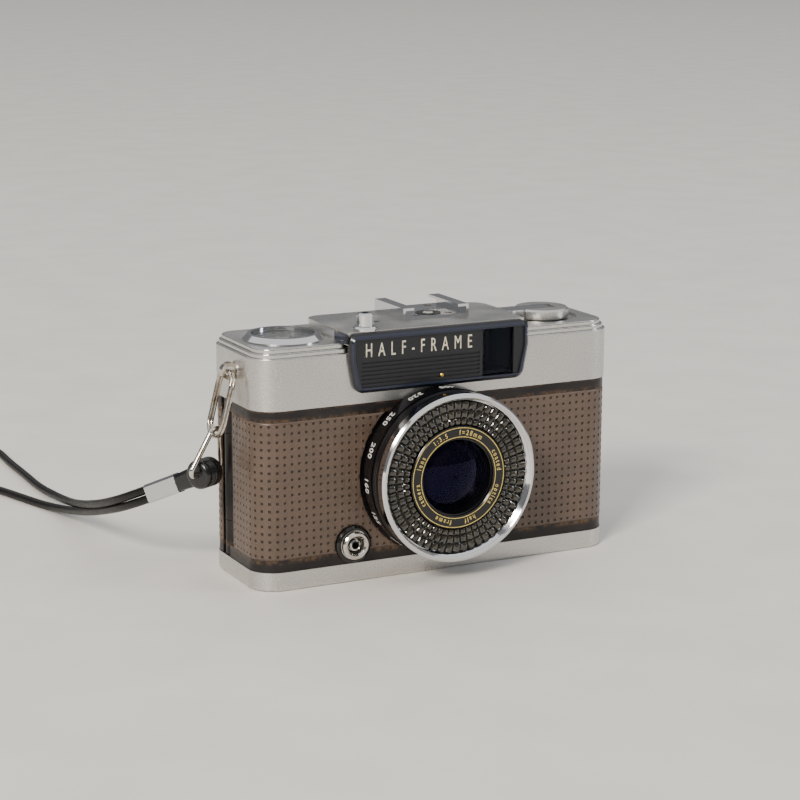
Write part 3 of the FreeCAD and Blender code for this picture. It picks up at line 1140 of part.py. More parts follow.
# The cord's free route, chosen by hand: it droops to the table and lies there in an open loop
CORD_ROUTE = [(-78.3, 41, 14.2), (-76.9, 60, 9.1), (-75, 78, 5), (-73.6, 96, 2.3), (-73.9, 114, 1.2),
              (-73.3, 131, 1.3), (-73, 148, 1.2), (-71.8, 165, 1.2), (-74.5, 182, 1.2), (-84, 194, 1.3),
              (-97, 195.5, 1.2), (-107, 186, 1.2), (-109, 171, 1.2), (-105, 156, 1.3), (-98.5, 142, 1.2),
              (-91.5, 129, 1.2), (-86.2, 116, 1.2), (-83, 105, 1.3), (-80, 95, 1.2), (-77, 84, 1.9),
              (-76.5, 65, 5.6), (-77.2, 45, 10.9),]

wheel_y = "(back_depth + wheel_out - wheel_radius)"
wheel_low = f"({cover_low} + 0.9)"
hinge_low = "(base_height + door_gap)"
hinge_high = f"({cover_low} - door_gap)"
dot_z = "(bezel_low + 2.9)"
contact_y = "(shoe_front + 4.9)"
crank_x = "2.2"
crank_z = "(knob_height - crank_thick/2 - 0.05)"
shoe_screws = [(f"shoe_x + ({x})", f"shoe_front + {y}") for x in (-5, 5) for y in (2.5, 15)]

base_plate()
body_casting()
top_cover()
front_bezel()
turned("index_dot", "lens_x", "0", dot_z, FORWARD, [("0",
                                                     "front_depth + bezel_thick - face_depth - 0.45"),
                                                    ("dot_radius",
                                                     "front_depth + bezel_thick - face_depth - 0.45"),
                                                    ("dot_radius",
                                                     "front_depth + bezel_thick - face_depth + 0.1"),
                                                    ("dot_radius - 0.15",
                                                     "front_depth + bezel_thick - face_depth + 0.25"),
                                                    ("0",
                                                     "front_depth + bezel_thick - face_depth + 0.25")])
viewfinder()
accessory_shoe()
counter()
shutter_button()
rewind()
advance()
lens()
film_gate()
sync_socket()
leatherette("leatherette_left", "-")
leatherette("leatherette_right", "")
back_door()
strap_lug("strap_lug_left", "-")
strap_lug("strap_lug_right", "")
strap_link()
strap()

doc.recompute()
faults = [item.Label for item in doc.Objects if {"Invalid", "Error"} & set(item.State)]
faults += [label for label, item in nodes.items() if item.Shape.isNull() or not item.Shape.isValid()]
if faults:
    raise ValueError(f"not built: {faults}")
os.makedirs("parts", exist_ok=True)
for label, item in nodes.items():
    item.Shape.exportStep(f"parts/{label}.step")
print(len(nodes), "sub-parts written")
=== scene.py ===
import math
import bmesh
import bpy
import numpy as np
from mathutils import Matrix, Vector


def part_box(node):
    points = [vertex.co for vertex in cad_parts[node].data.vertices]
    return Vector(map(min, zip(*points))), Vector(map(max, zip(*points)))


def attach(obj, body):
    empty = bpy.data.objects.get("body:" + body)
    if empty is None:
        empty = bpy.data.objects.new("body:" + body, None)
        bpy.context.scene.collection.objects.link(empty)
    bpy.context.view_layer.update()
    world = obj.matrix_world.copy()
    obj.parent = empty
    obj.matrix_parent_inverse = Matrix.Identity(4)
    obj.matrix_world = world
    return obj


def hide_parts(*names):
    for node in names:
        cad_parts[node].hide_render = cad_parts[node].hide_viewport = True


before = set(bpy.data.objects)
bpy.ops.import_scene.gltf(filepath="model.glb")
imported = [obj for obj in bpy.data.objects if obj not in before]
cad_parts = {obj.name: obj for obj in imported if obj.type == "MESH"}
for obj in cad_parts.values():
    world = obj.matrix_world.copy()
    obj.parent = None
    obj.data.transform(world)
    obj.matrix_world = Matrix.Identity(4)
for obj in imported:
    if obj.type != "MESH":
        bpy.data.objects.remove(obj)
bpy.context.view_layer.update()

mm = 0.001


camera = {"place": (-0.27443, -0.53502, 0.17904), "azimuth": -26.72, "elevation": 12.59, "roll": 0.23,
          "lens": 99.8, "sensor": 36}              # metres, degrees, and millimetres for the lens


def aimCamera(settings):
    # view direction from azimuth and elevation, then the frame's right and up turned by the roll
    azimuth, elevation, roll = (math.radians(settings[key]) for key in ("azimuth", "elevation", "roll"))
    ahead = Vector((-math.sin(azimuth) * math.cos(elevation), math.cos(azimuth) * math.cos(elevation),
                    -math.sin(elevation)))
    level = ahead.cross(Vector((0, 0, 1))).normalized()
    right = level * math.cos(roll) + level.cross(ahead) * math.sin(roll)
    up = right.cross(ahead)
    data = bpy.data.cameras.new("camera")
    data.lens = settings["lens"]
    data.sensor_width = settings["sensor"]
    data.clip_start = 0.01
    item = bpy.data.objects.new("camera", data)
    item.matrix_world = Matrix((
        (right.x, up.x, -ahead.x, settings["place"][0]),
        (right.y, up.y, -ahead.y, settings["place"][1]),
        (right.z, up.z, -ahead.z, settings["place"][2]),
        (0, 0, 0, 1),
    ))
    bpy.context.scene.collection.objects.link(item)
    bpy.context.scene.camera = item


aimCamera(camera)
print("camera set")


def centreOf(node):
    # middle of a piece's box, in millimetres
    low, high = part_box(node)
    return [(a + b) / 2 / mm for a, b in zip(low, high)]


def toLinear(hexColour):
    # each sRGB channel: a straight piece near black, a 2.4 power above it
    channels = [int(hexColour[i:i + 2], 16) / 255 for i in (1, 3, 5)]
    return [c / 12.92 if c <= 0.04045 else ((c + 0.055) / 1.055) ** 2.4 for c in channels] + [1.0]


def addNode(tree, kind, settings=None, links=None, out=0):
    # adds a node, sets and links its sockets, and gives back the output that is asked for
    node = tree.nodes.new("ShaderNode" + kind)
    for key, setting in (settings or {}).items():
        if isinstance(key, int) or key in node.inputs:
            node.inputs[key].default_value = toLinear(setting) if isinstance(setting, str) else setting
        else:
            setattr(node, key, setting)
    for key, socket in (links or {}).items():
        tree.links.new(socket, node.inputs[key])
    return node.outputs[out]


def startMaterial(name, colour, metallic, roughness, **sockets):
    # a principled surface with its plain values on its own sockets, and the object's coordinates
    material = bpy.data.materials.new(name)
    material.use_nodes = True
    tree = material.node_tree
    shader = tree.nodes["Principled BSDF"]
    shader.inputs["Base Color"].default_value = toLinear(colour)
    shader.inputs["Metallic"].default_value = metallic
    shader.inputs["Roughness"].default_value = roughness
    for key, setting in sockets.items():
        label = key.replace("_", " ")
        shader.inputs[label].default_value = toLinear(setting) if isinstance(setting, str) else setting
    return material, tree, addNode(tree, "TexCoord", out="Object")


def feed(material, links):
    # joins the patterns to the surface's sockets
    tree = material.node_tree
    for key, socket in links.items():
        tree.links.new(socket, tree.nodes["Principled BSDF"].inputs[key])
    return material


def blotches(size, detail=2.0, roughness=0.5):
    # noise settings for blotches about so many millimetres across
    return {"Scale": 1 / (size * mm), "Detail": detail, "Roughness": roughness}


def span(low, high, start=0.35, end=0.65):
    # range settings that stretch the middle of a 0 to 1 pattern over the values low to high
    return {"From Min": start, "From Max": end, "To Min": low, "To Max": high}


def edge(start, end):
    # range settings for a step from 0 to 1 between two distances in millimetres
    return {"From Min": start * mm, "From Max": end * mm}


def band(tree, place, axis, low, high, soft=0.05):
    # 1 between two heights in millimetres along an axis, 0 outside, with soft edges
    value = addNode(tree, "SeparateXYZ", links={0: place}, out=axis)
    rising = addNode(tree, "MapRange", edge(low - soft, low + soft), {"Value": value})
    falling = addNode(tree, "MapRange", edge(high + soft, high - soft), {"Value": value})
    return addNode(tree, "Math", {"operation": "MULTIPLY"}, {0: rising, 1: falling})


def twoTones(tree, pattern, dark, light, start=0.35, end=0.65):
    # a colour between two, led by the middle of a 0 to 1 pattern
    factor = addNode(tree, "MapRange", span(0, 1, start, end), {"Value": pattern})
    return addNode(tree, "Mix", {"data_type": "RGBA", 6: dark, 7: light}, {0: factor}, 2)


def makeSatinChrome():
    # chrome plate over blasted brass: a pearly grey with fine grain, handled smooth in patches,
    # and bright on the walls of the shoulder's steps
    material, tree, place = startMaterial("satinChrome", "#CFCDC9", 1.0, 0.34)
    # bead marks are about 0.1 mm, drawn coarser so that they show
    fine = addNode(tree, "TexNoise", blotches(0.35), {"Vector": place})
    worn = addNode(tree, "TexNoise", blotches(14, 3), {"Vector": place})
    dull = addNode(tree, "MapRange", span(0.27, 0.38), {"Value": worn})
    normal = addNode(tree, "NewGeometry", out="Normal")
    upward = addNode(tree, "SeparateXYZ", links={0: normal}, out="Z")
    wall = addNode(tree, "Math", {"operation": "COMPARE", 1: 0.0, 2: 0.93}, {0: upward})
    shoulder = band(tree, place, "Z", 63.2, 65.75)
    steps = addNode(tree, "Math", {"operation": "MULTIPLY"}, {0: shoulder, 1: wall})
    rough = addNode(tree, "Mix", {"data_type": "FLOAT", 3: 0.14}, {0: steps, 2: dull})
    tone = twoTones(tree, fine, "#C2C0BC", "#DBDAD7")
    bump = addNode(tree, "Bump", {"Distance": 0.012 * mm}, {"Height": fine})
    return feed(material, {"Base Color": tone, "Roughness": rough, "Normal": bump})


def makeBrightChrome():
    # polished chrome: a mirror with faint wiping marks
    material, tree, place = startMaterial("brightChrome", "#D8D8DA", 1.0, 0.08)
    marks = addNode(tree, "TexNoise", blotches(5, 4), {"Vector": place})
    rough = addNode(tree, "MapRange", span(0.05, 0.17), {"Value": marks})
    ripple = addNode(tree, "TexNoise", blotches(1.2), {"Vector": place})
    bump = addNode(tree, "Bump", {"Distance": 0.004 * mm}, {"Height": ripple})
    return feed(material, {"Roughness": rough, "Normal": bump})


def makeBlackEnamel():
    # brushed-on black enamel over a zinc casting: satin, rubbed brown where hands and the
    # leatherette's edge meet it
    material, tree, place = startMaterial("blackEnamel", "#17161A", 0.0, 0.34, Specular_IOR_Level=0.35)
    upper = band(tree, place, "Z", 46.0, 47.0, 0.5)
    lower = band(tree, place, "Z", 7.6, 8.8, 0.5)
    lip = band(tree, place, "Z", 48.9, 49.6, 0.3)
    edges = addNode(tree, "Math", {"operation": "MAXIMUM"}, {0: upper, 1: lower})
    edges = addNode(tree, "Math", {"operation": "MAXIMUM"}, {0: edges, 1: lip})
    rub = addNode(tree, "TexNoise", blotches(1.6, 5, 0.62), {"Vector": place})
    worn = addNode(tree, "MapRange", span(0, 1, 0.44, 0.6), {"Value": rub})
    bare = addNode(tree, "Math", {"operation": "MULTIPLY"}, {0: worn, 1: edges})
    cloud = addNode(tree, "TexNoise", blotches(7, 3), {"Vector": place})
    black = twoTones(tree, cloud, "#141215", "#241F1D")
    tone = addNode(tree, "Mix", {"data_type": "RGBA", 7: "#57422F"}, {0: bare, 6: black}, 2)
    rough = addNode(tree, "MapRange", span(0.28, 0.46), {"Value": rub})
    skin = addNode(tree, "TexNoise", blotches(0.5, 3), {"Vector": place})
    bump = addNode(tree, "Bump", {"Distance": 0.02 * mm}, {"Height": skin})
    return feed(material, {"Base Color": tone, "Roughness": rough, "Normal": bump})


def makeRingBlack():
    # black anodised and lacquered aluminium: deep black with a sharp sheen, turned lines just visible
    material, tree, place = startMaterial("ringBlack", "#0A0A0D", 0.0, 0.24, Specular_IOR_Level=0.4,
                                          Coat_Weight=0.25, Coat_Roughness=0.1)
    forward = addNode(tree, "SeparateXYZ", links={0: place}, out="Y")
    lines = addNode(tree, "TexNoise", {"noise_dimensions": "1D", **blotches(0.3)}, {"W": forward})
    rough = addNode(tree, "MapRange", span(0.18, 0.32), {"Value": lines})
    bump = addNode(tree, "Bump", {"Distance": 0.01 * mm}, {"Height": lines})
    return feed(material, {"Roughness": rough, "Normal": bump})


def makeBezelPaint():
    # stove enamel on pressed brass: blue-black, glossy on the rim and satin on the face, the rim bluer with
    # painted sheen
    material, tree, place = startMaterial("bezelPaint", "#20242F", 0.0, 0.3, Specular_IOR_Level=0.3,
                                          Coat_Weight=0.35, Coat_Roughness=0.06)
    face = band(tree, place, "Y", -16.95, -15.0)
    # painted sheen: the rim bluer than the near black face
    tone = addNode(tree, "Mix", {"data_type": "RGBA", 6: "#1E2434", 7: "#18191E"}, {0: face}, 2)
    satin = addNode(tree, "Mix", {"data_type": "FLOAT", 2: 0.14, 3: 0.4}, {0: face})
    dust = addNode(tree, "TexNoise", blotches(0.4, 3), {"Vector": place})
    rough = addNode(tree, "Math", {"operation": "MULTIPLY_ADD", 1: 0.1}, {0: dust, 2: satin})
    bump = addNode(tree, "Bump", {"Distance": 0.01 * mm}, {"Height": dust})
    return feed(material, {"Base Color": tone, "Roughness": rough, "Normal": bump})


def makeLeatherette():
    # embossed vinyl cloth: taupe, soft sheen, with painted shade in the pits
    material, tree, place = startMaterial("leatherette", "#56473C", 0.0, 0.5)
    patch = addNode(tree, "TexNoise", blotches(9, 3), {"Vector": place})
    taupe = twoTones(tree, patch, "#4A3D34", "#5A4A3F")
    # the skin's pores are finer, about 0.1 mm
    pores = addNode(tree, "TexNoise", blotches(0.3, 3, 0.6), {"Vector": place})
    fleck = addNode(tree, "MapRange", span(0, 1, 0.3, 0.75), {"Value": pores})
    vinyl = addNode(tree, "Mix", {"data_type": "RGBA", 7: "#635347"}, {0: fleck, 6: taupe}, 2)
    pit = addNode(tree, "Attribute", {"attribute_name": "pit"}, out="Fac")
    # painted shade: the pit floors near black
    tone = addNode(tree, "Mix", {"data_type": "RGBA", 7: "#292119"}, {0: pit, 6: vinyl}, 2)
    rough = addNode(tree, "MapRange", span(0.3, 0.42), {"Value": patch})
    bump = addNode(tree, "Bump", {"Distance": 0.03 * mm}, {"Height": pores})
    return feed(material, {"Base Color": tone, "Roughness": rough, "Normal": bump})


def makeNickelSteel():
    # nickel-plated steel wire and screws: warm bright metal, yellowed in places
    material, tree, place = startMaterial("nickelSteel", "#C9C4BB", 1.0, 0.16)
    stain = addNode(tree, "TexNoise", blotches(2.5, 4), {"Vector": place})
    tone = twoTones(tree, stain, "#D0CCC4", "#A08C74", 0.45, 0.7)
    rough = addNode(tree, "MapRange", span(0.1, 0.26), {"Value": stain})
    ripple = addNode(tree, "TexNoise", blotches(0.5), {"Vector": place})
    bump = addNode(tree, "Bump", {"Distance": 0.008 * mm}, {"Height": ripple})
    return feed(material, {"Base Color": tone, "Roughness": rough, "Normal": bump})


def makeBrass():
    # lacquered brass: yellow metal, a little dull
    material, tree, place = startMaterial("brass", "#D1AC55", 1.0, 0.25)
    stain = addNode(tree, "TexNoise", blotches(0.8, 3), {"Vector": place})
    tone = twoTones(tree, stain, "#C79D48", "#DDBB68")
    rough = addNode(tree, "MapRange", span(0.18, 0.34), {"Value": stain})
    return feed(material, {"Base Color": tone, "Roughness": rough})


def makeInk(name, colour, thin):
    # engraving filled with paint: a flat colour, darker where the paint lies thin
    material, tree, place = startMaterial(name, colour, 0.0, 0.42)
    cloud = addNode(tree, "TexNoise", blotches(0.6), {"Vector": place})
    light = addNode(tree, "MapRange", span(0, 1), {"Value": cloud})
    tone = addNode(tree, "Mix", {"data_type": "RGBA", 6: thin, 7: colour}, {0: light}, 2)
    return feed(material, {"Base Color": tone})


def makeGlass(name, colour, refraction, film, detail, haze, **sockets):
    # ground and polished glass: clear, with a faint film of dust in its roughness
    material, tree, place = startMaterial(name, colour, 0.0, haze, Transmission_Weight=1.0, IOR=refraction,
                                          **sockets)
    dust = addNode(tree, "TexNoise", blotches(film, detail), {"Vector": place})
    return feed(material, {"Roughness": addNode(tree, "MapRange", span(0, haze), {"Value": dust})})


def makeRidgedBlack():
    # turned black anodising inside the lens: dark, with enough sheen for its ridges to catch the light
    material, tree, place = startMaterial("ridgedBlack", "#0B0B0D", 0.0, 0.24)
    film = addNode(tree, "TexNoise", blotches(0.6, 3), {"Vector": place})
    return feed(material, {"Roughness": addNode(tree, "MapRange", span(0.2, 0.32), {"Value": film})})


def makeSocketNickel():
    # the flash socket's two bright nickel lips with black resin round and between them
    material, tree, place = startMaterial("socketNickel", "#CFCCC6", 1.0, 0.14)
    centre = (syncX * mm, 0, syncZ * mm)
    point = addNode(tree, "VectorMath", {"operation": "SUBTRACT", 1: centre}, {0: place})
    flat = addNode(tree, "VectorMath", {"operation": "MULTIPLY", 1: (1, 0, 1)}, {0: point})
    radius = addNode(tree, "VectorMath", {"operation": "LENGTH"}, {0: flat}, "Value")
    lips = []
    for start, end in ((2.4, 4.0), (1.1, 1.7)):
        within = addNode(tree, "MapRange", edge(start - 0.05, start + 0.05), {"Value": radius})
        beyond = addNode(tree, "MapRange", edge(end + 0.05, end - 0.05), {"Value": radius})
        lips.append(addNode(tree, "Math", {"operation": "MULTIPLY"}, {0: within, 1: beyond}))
    metal = addNode(tree, "Math", {"operation": "ADD", "use_clamp": True}, dict(enumerate(lips)))
    cloud = addNode(tree, "TexNoise", blotches(0.8, 3), {"Vector": place})
    nickel = twoTones(tree, cloud, "#BDB9B1", "#D9D6D0")
    tone = addNode(tree, "Mix", {"data_type": "RGBA", 6: "#0C0C0D"}, {0: metal, 7: nickel}, 2)
    return feed(material, {"Base Color": tone, "Metallic": metal})


def makeBubblePlastic():
    # moulded acrylic over a dark cell: smoky and glossy, with painted shade in the valleys between its
    # beads
    material, tree, place = startMaterial("bubblePlastic", "#38352A", 0.0, 0.04, Transmission_Weight=0.45,
                                          IOR=1.49, Coat_Weight=0.8, Coat_Roughness=0.03)
    cloud = addNode(tree, "TexNoise", blotches(4), {"Vector": place})
    smoke = twoTones(tree, cloud, "#302D24", "#474336")
    valleyShade = addNode(tree, "Attribute", {"attribute_name": "valleyShade"}, out="Fac")
    # painted shade: near black in the valleys between the beads and over the whole back
    tone = addNode(tree, "Mix", {"data_type": "RGBA", 7: "#100F0C"}, {0: valleyShade, 6: smoke}, 2)
    film = addNode(tree, "TexNoise", blotches(5), {"Vector": place})
    rough = addNode(tree, "MapRange", span(0.02, 0.06), {"Value": film})
    return feed(material, {"Base Color": tone, "Roughness": rough})


def makeSelenium():
    # selenium on steel under lacquer: brown-grey, semi-metallic
    material, tree, place = startMaterial("selenium", "#241F1B", 0.4, 0.35)
    blotch = addNode(tree, "TexNoise", blotches(1.2, 4), {"Vector": place})
    tone = twoTones(tree, blotch, "#1A1714", "#2C2620")
    return feed(material, {"Base Color": tone})


def makeMattBlack():
    # flat black lacquer against stray light: swallows almost everything
    material, tree, place = startMaterial("mattBlack", "#0A0A0B", 0.0, 0.62)
    dust = addNode(tree, "TexNoise", blotches(0.5, 3), {"Vector": place})
    tone = twoTones(tree, dust, "#08080A", "#121213")
    bump = addNode(tree, "Bump", {"Distance": 0.02 * mm}, {"Height": dust})
    return feed(material, {"Base Color": tone, "Normal": bump})


def makeBlackNylon():
    # moulded nylon: black, smooth, with a soft sheen on its edges
    material, tree, place = startMaterial("blackNylon", "#101012", 0.0, 0.33)
    cloud = addNode(tree, "TexNoise", blotches(1.0, 3), {"Vector": place})
    rough = addNode(tree, "MapRange", span(0.27, 0.42), {"Value": cloud})
    skin = addNode(tree, "TexNoise", blotches(0.3), {"Vector": place})
    bump = addNode(tree, "Bump", {"Distance": 0.006 * mm}, {"Height": skin})
    return feed(material, {"Roughness": rough, "Normal": bump})


def makeCordLeather():
    # round cord of waxed leather: black, polished along its length with fine cross creases
    material, tree, place = startMaterial("cordLeather", "#0E0D0D", 0.0, 0.4, Specular_IOR_Level=0.3)
    crease = addNode(tree, "TexNoise", blotches(0.7, 4, 0.6), {"Vector": place})
    tone = twoTones(tree, crease, "#080707", "#151312")
    rough = addNode(tree, "MapRange", span(0.32, 0.5), {"Value": crease})
    bump = addNode(tree, "Bump", {"Distance": 0.05 * mm}, {"Height": crease})
    return feed(material, {"Base Color": tone, "Roughness": rough, "Normal": bump})


def makeGlossRubber():
    # moulded rubber with a skin shine
    material, tree, place = startMaterial("glossRubber", "#0D0D10", 0.0, 0.24, Coat_Weight=0.3,
                                          Coat_Roughness=0.15)
    mottle = addNode(tree, "TexNoise", blotches(1.5, 3), {"Vector": place})
    rough = addNode(tree, "MapRange", span(0.16, 0.34), {"Value": mottle})
    bump = addNode(tree, "Bump", {"Distance": 0.05 * mm}, {"Height": mottle})
    return feed(material, {"Roughness": rough, "Normal": bump})


def makeDialSilver():
    # spun aluminium disc: pale, with the unevenness of fine turning marks
    material, tree, place = startMaterial("dialSilver", "#C8C6BE", 1.0, 0.4)
    cloud = addNode(tree, "TexNoise", blotches(0.4, 3), {"Vector": place})
    rough = addNode(tree, "MapRange", span(0.32, 0.5), {"Value": cloud})
    marks = addNode(tree, "TexNoise", blotches(0.25), {"Vector": place})
    bump = addNode(tree, "Bump", {"Distance": 0.006 * mm}, {"Height": marks})
    return feed(material, {"Roughness": rough, "Normal": bump})


def makeTableTop():
    # painted board: pale and even, with the faintest tooth
    material, tree, place = startMaterial("tableTop", "#E4E1DA", 0.0, 0.6)
    tooth = addNode(tree, "TexNoise", blotches(30, 3), {"Vector": place})
    tone = twoTones(tree, tooth, "#E1DED7", "#E7E4DD")
    return feed(material, {"Base Color": tone})


satinChrome = makeSatinChrome()
brightChrome = makeBrightChrome()
blackEnamel = makeBlackEnamel()
ringBlack = makeRingBlack()
bezelPaint = makeBezelPaint()
leatherette = makeLeatherette()
nickelSteel = makeNickelSteel()
brass = makeBrass()
syncX, _, syncZ = centreOf("sync_collar")
socketNickel = makeSocketNickel()
ridgedBlack = makeRidgedBlack()
creamInk = makeInk("creamInk", "#EAE2CB", "#BFB9A6")
whiteInk = makeInk("whiteInk", "#E8E8E4", "#BEBEBA")
goldInk = makeInk("goldInk", "#DCC56C", "#B4A158")
# crown glass is clear; bloomed window glass is dark and quiet, with weak reflections; the front element's
# coating reflects violet, and the inner one's, of another thickness, amber
clearGlass = makeGlass("clearGlass", "#F2F4F3", 1.52, 3, 4, 0.06)
finderGlass = makeGlass("finderGlass", "#D8DADC", 1.45, 3, 4, 0.04, Specular_Tint="#56607A")
coatedGlass = makeGlass("coatedGlass", "#8C8A94", 1.5, 4, 3, 0.01, Specular_Tint="#5B5AA6")
amberGlass = makeGlass("amberGlass", "#A8A29A", 1.6, 4, 3, 0.01, Specular_Tint="#8E5C2E")
bubblePlastic = makeBubblePlastic()
selenium = makeSelenium()
mattBlack = makeMattBlack()
blackNylon = makeBlackNylon()
cordLeather = makeCordLeather()
glossRubber = makeGlossRubber()
dialSilver = makeDialSilver()
tableTop = makeTableTop()

nodeFinishes = {
    satinChrome: ["base_plate", "top_cover", "rewind_knob"],
    brightChrome: ["accessory_shoe", "counter_ring", "button_collar", "shutter_button", "filter_rim",
                   "rewind_crank", "strap_crimp"],
    blackEnamel: ["body_casting", "back_door", "eyepiece_frame"],
    ringBlack: ["shutter_housing", "lens_barrel", "name_ring", "speed_ring", "aperture_ring"],
    bezelPaint: ["front_bezel"],
    nickelSteel: ["tripod_bush", "base_screws", "shoe_screws", "shoe_contact", "button_spring",
                  "strap_lug_left", "strap_lug_right", "hinge_pin", "rewind_release", "pressure_spring",
                  "door_latch", "strap_ring"],
    brass: ["index_dot"],
    socketNickel: ["sync_collar", "sync_pin"],
    finderGlass: ["viewfinder_window", "eyepiece_lens"],
    clearGlass: ["counter_window"],
    coatedGlass: ["front_lens", "rear_lens"],
    selenium: ["selenium_cell"],
    mattBlack: ["viewfinder_block", "shutter_plate", "film_gate", "shutter_blade_a", "shutter_blade_b",
                "diaphragm_blade_a", "diaphragm_blade_b", "pressure_plate"],
    blackNylon: ["shoe_insulator", "sprocket_shaft", "takeup_spool"],
    dialSilver: ["counter_dial"],
}
for finish, names in nodeFinishes.items():
    for name in names:
        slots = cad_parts[name].data.materials
        for index in range(len(slots)):
            slots[index] = finish
print("materials made")


def gridFaces(rows, columns, wrapRows, wrapColumns):
    # corners (i, j), (i+1, j), (i+1, j+1), (i, j+1) of every cell, joined round where it wraps
    down = np.arange(rows if wrapRows else rows - 1)
    along = np.arange(columns if wrapColumns else columns - 1)
    i, j = np.meshgrid(down, along, indexing="ij")
    ni, nj = (i + 1) % rows, (j + 1) % columns
    corners = [i * columns + j, ni * columns + j, ni * columns + nj, i * columns + nj]
    return np.stack(corners, -1).reshape(-1, 4)


mergeDistance = 1e-7                             # metres, for doubled points at seams and poles


def makePiece(name, points, faces, material, body, slot, smooth=35, values=None):
    # points in millimetres; values are attributes that a material reads at each point
    mesh = bpy.data.meshes.new(name)
    mesh.from_pydata((np.asarray(points, float) * mm).tolist(), [], [list(face) for face in faces])
    if values:
        for key, column in values.items():
            mesh.attributes.new(key, "FLOAT", "POINT").data.foreach_set("value", np.asarray(column, float))
    work = bmesh.new()
    work.from_mesh(mesh)
    bmesh.ops.remove_doubles(work, verts=work.verts, dist=mergeDistance)
    work.to_mesh(mesh)
    work.free()
    mesh.polygons.foreach_set("use_smooth", np.ones(len(mesh.polygons), bool))
    mesh.set_sharp_from_angle(angle=math.radians(smooth))
    mesh.materials.append(material)
    item = bpy.data.objects.new(name, mesh)
    bpy.context.scene.collection.objects.link(item)
    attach(item, body)
    return item


def gridPiece(name, grid, wrapRows, wrapColumns, *rest, **more):
    # grid: an array of rows by columns by three
    faces = gridFaces(grid.shape[0], grid.shape[1], wrapRows, wrapColumns)
    return makePiece(name, grid.reshape(-1, 3), faces, *rest, **more)


def addModifier(item, kind, **settings):
    modifier = item.modifiers.new(kind.title(), kind)
    for key, setting in settings.items():
        setattr(modifier, key, setting)
    return modifier


lensX, _, lensZ = centreOf("speed_ring")


def aroundLens(radius, forward, angle):
    # a point at a radius and an angle from straight up towards the left, so far in front of the origin
    return np.stack([lensX - radius * np.sin(angle), -forward + 0 * angle,
                     lensZ + radius * np.cos(angle)], -1)


def aroundUpright(centre, radius, height, angle):
    # a point at a radius and an angle from the right towards the back, at a height
    return np.stack([centre[0] + radius * np.cos(angle), centre[1] + radius * np.sin(angle),
                     height + 0 * angle], -1)


def turned(name, section, count, place, *rest, **more):
    # a closed section of (radius, height) carried round a full circle; clockwise sections face outwards
    section = np.asarray(section, float)
    angle = np.linspace(0, 2 * np.pi, count, endpoint=False)[:, None]
    radius, height = section[None, :, 0], section[None, :, 1]
    grid = place(radius + 0 * angle, height + 0 * angle, angle + 0 * radius)
    return gridPiece(name, grid, True, True, *rest, **more)


capitalHeight = 0.72                             # of the built-in type at size 1


def lettering(name, words, height, narrow, spacing, thick, place, material, body, slot, bold=0.0):
    # a line of type set flat, centred on its middle, then bent by place(x, y, lift) in millimetres
    curve = bpy.data.curves.new(name + "Type", "FONT")
    curve.body = words
    curve.align_x = "CENTER"
    curve.space_character = spacing
    curve.resolution_u = 4
    curve.extrude = 0.5
    curve.offset = bold
    holder = bpy.data.objects.new(name + "Type", curve)
    bpy.context.scene.collection.objects.link(holder)
    mesh = bpy.data.meshes.new_from_object(holder.evaluated_get(bpy.context.evaluated_depsgraph_get()))
    bpy.data.objects.remove(holder)
    bpy.data.curves.remove(curve)
    points = np.empty(len(mesh.vertices) * 3)
    mesh.vertices.foreach_get("co", points)
    points = points.reshape(-1, 3)
    faces = [list(polygon.vertices) for polygon in mesh.polygons]
    bpy.data.meshes.remove(mesh)
    x = points[:, 0] / capitalHeight * height * narrow
    y = (points[:, 1] / capitalHeight - 0.5) * height
    lift = (points[:, 2] + 0.5) * thick
    return makePiece(name, place(x, y, lift), faces, material, body, slot, smooth=30)


print("tools ready")


cordValues = {"diameter": 2.4, "length": 0.389}  # millimetres, and the whole loop's metres
cordRoute = [                                    # out of the clip, down to the table, round a loop and back
    (-73.21, 17.02, 23.59), (-77.34, 24.12, 19.93), (-78.3, 41, 14.2), (-76.9, 60, 9.1), (-75, 78, 5),
    (-73.6, 96, 2.3), (-73.9, 114, 1.2), (-73.3, 131, 1.3), (-73, 148, 1.2), (-71.8, 165, 1.2),
    (-74.5, 182, 1.2), (-84, 194, 1.3), (-97, 195.5, 1.2), (-107, 186, 1.2), (-109, 171, 1.2),
    (-105, 156, 1.3), (-98.5, 142, 1.2), (-91.5, 129, 1.2), (-86.2, 116, 1.2), (-83, 105, 1.3),
    (-80, 95, 1.2), (-77, 84, 1.9), (-76.5, 65, 5.6), (-77.2, 45, 10.9), (-76.83, 23.24, 17.65),
    (-72.69, 16.14, 21.31),
]


def makeCord():
    # a smooth line drawn along the route, with a round section
    curve = bpy.data.curves.new("wristCord", "CURVE")
    curve.dimensions = "3D"
    line = curve.splines.new("NURBS")
    line.points.add(len(cordRoute) - 1)
    for point, (x, y, z) in zip(line.points, cordRoute):
        point.co = (x * mm, y * mm, z * mm, 1)
    line.order_u = 3
    line.use_endpoint_u = True
    curve.bevel_depth = cordValues["diameter"] / 2 * mm
    curve.bevel_resolution = 5
    curve.resolution_u = 8
    curve.use_fill_caps = True
    curve.materials.append(cordLeather)
    item = bpy.data.objects.new("wristCord", curve)
    bpy.context.scene.collection.objects.link(item)
    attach(item, "ring")
    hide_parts("strap_cord")
    return item


barMiddle = np.array((-63.3, 0, 31.0))           # middle of the strap ring's bar, and three ways from there
barWay = np.array((0.864214, 0.503125, 0))
cordWay = np.array((-0.459558, 0.789379, -0.407047))
topWay = np.cross(barWay, cordWay)
endLoop = {"halfLength": 3.5, "radius": 4.0, "bore": 0.79, "round": 1.3, "grooves": (-1.5, -0.75, 0.0),
           "grooveDepth": 0.22, "grooveWidth": 0.16}
loopNeck = {"start": 2.2, "length": 7.6, "width": 1.75, "narrowing": 0.15, "height": 2.9,
            "flattening": 0.45, "corner": 0.55, "wall": 0.6}


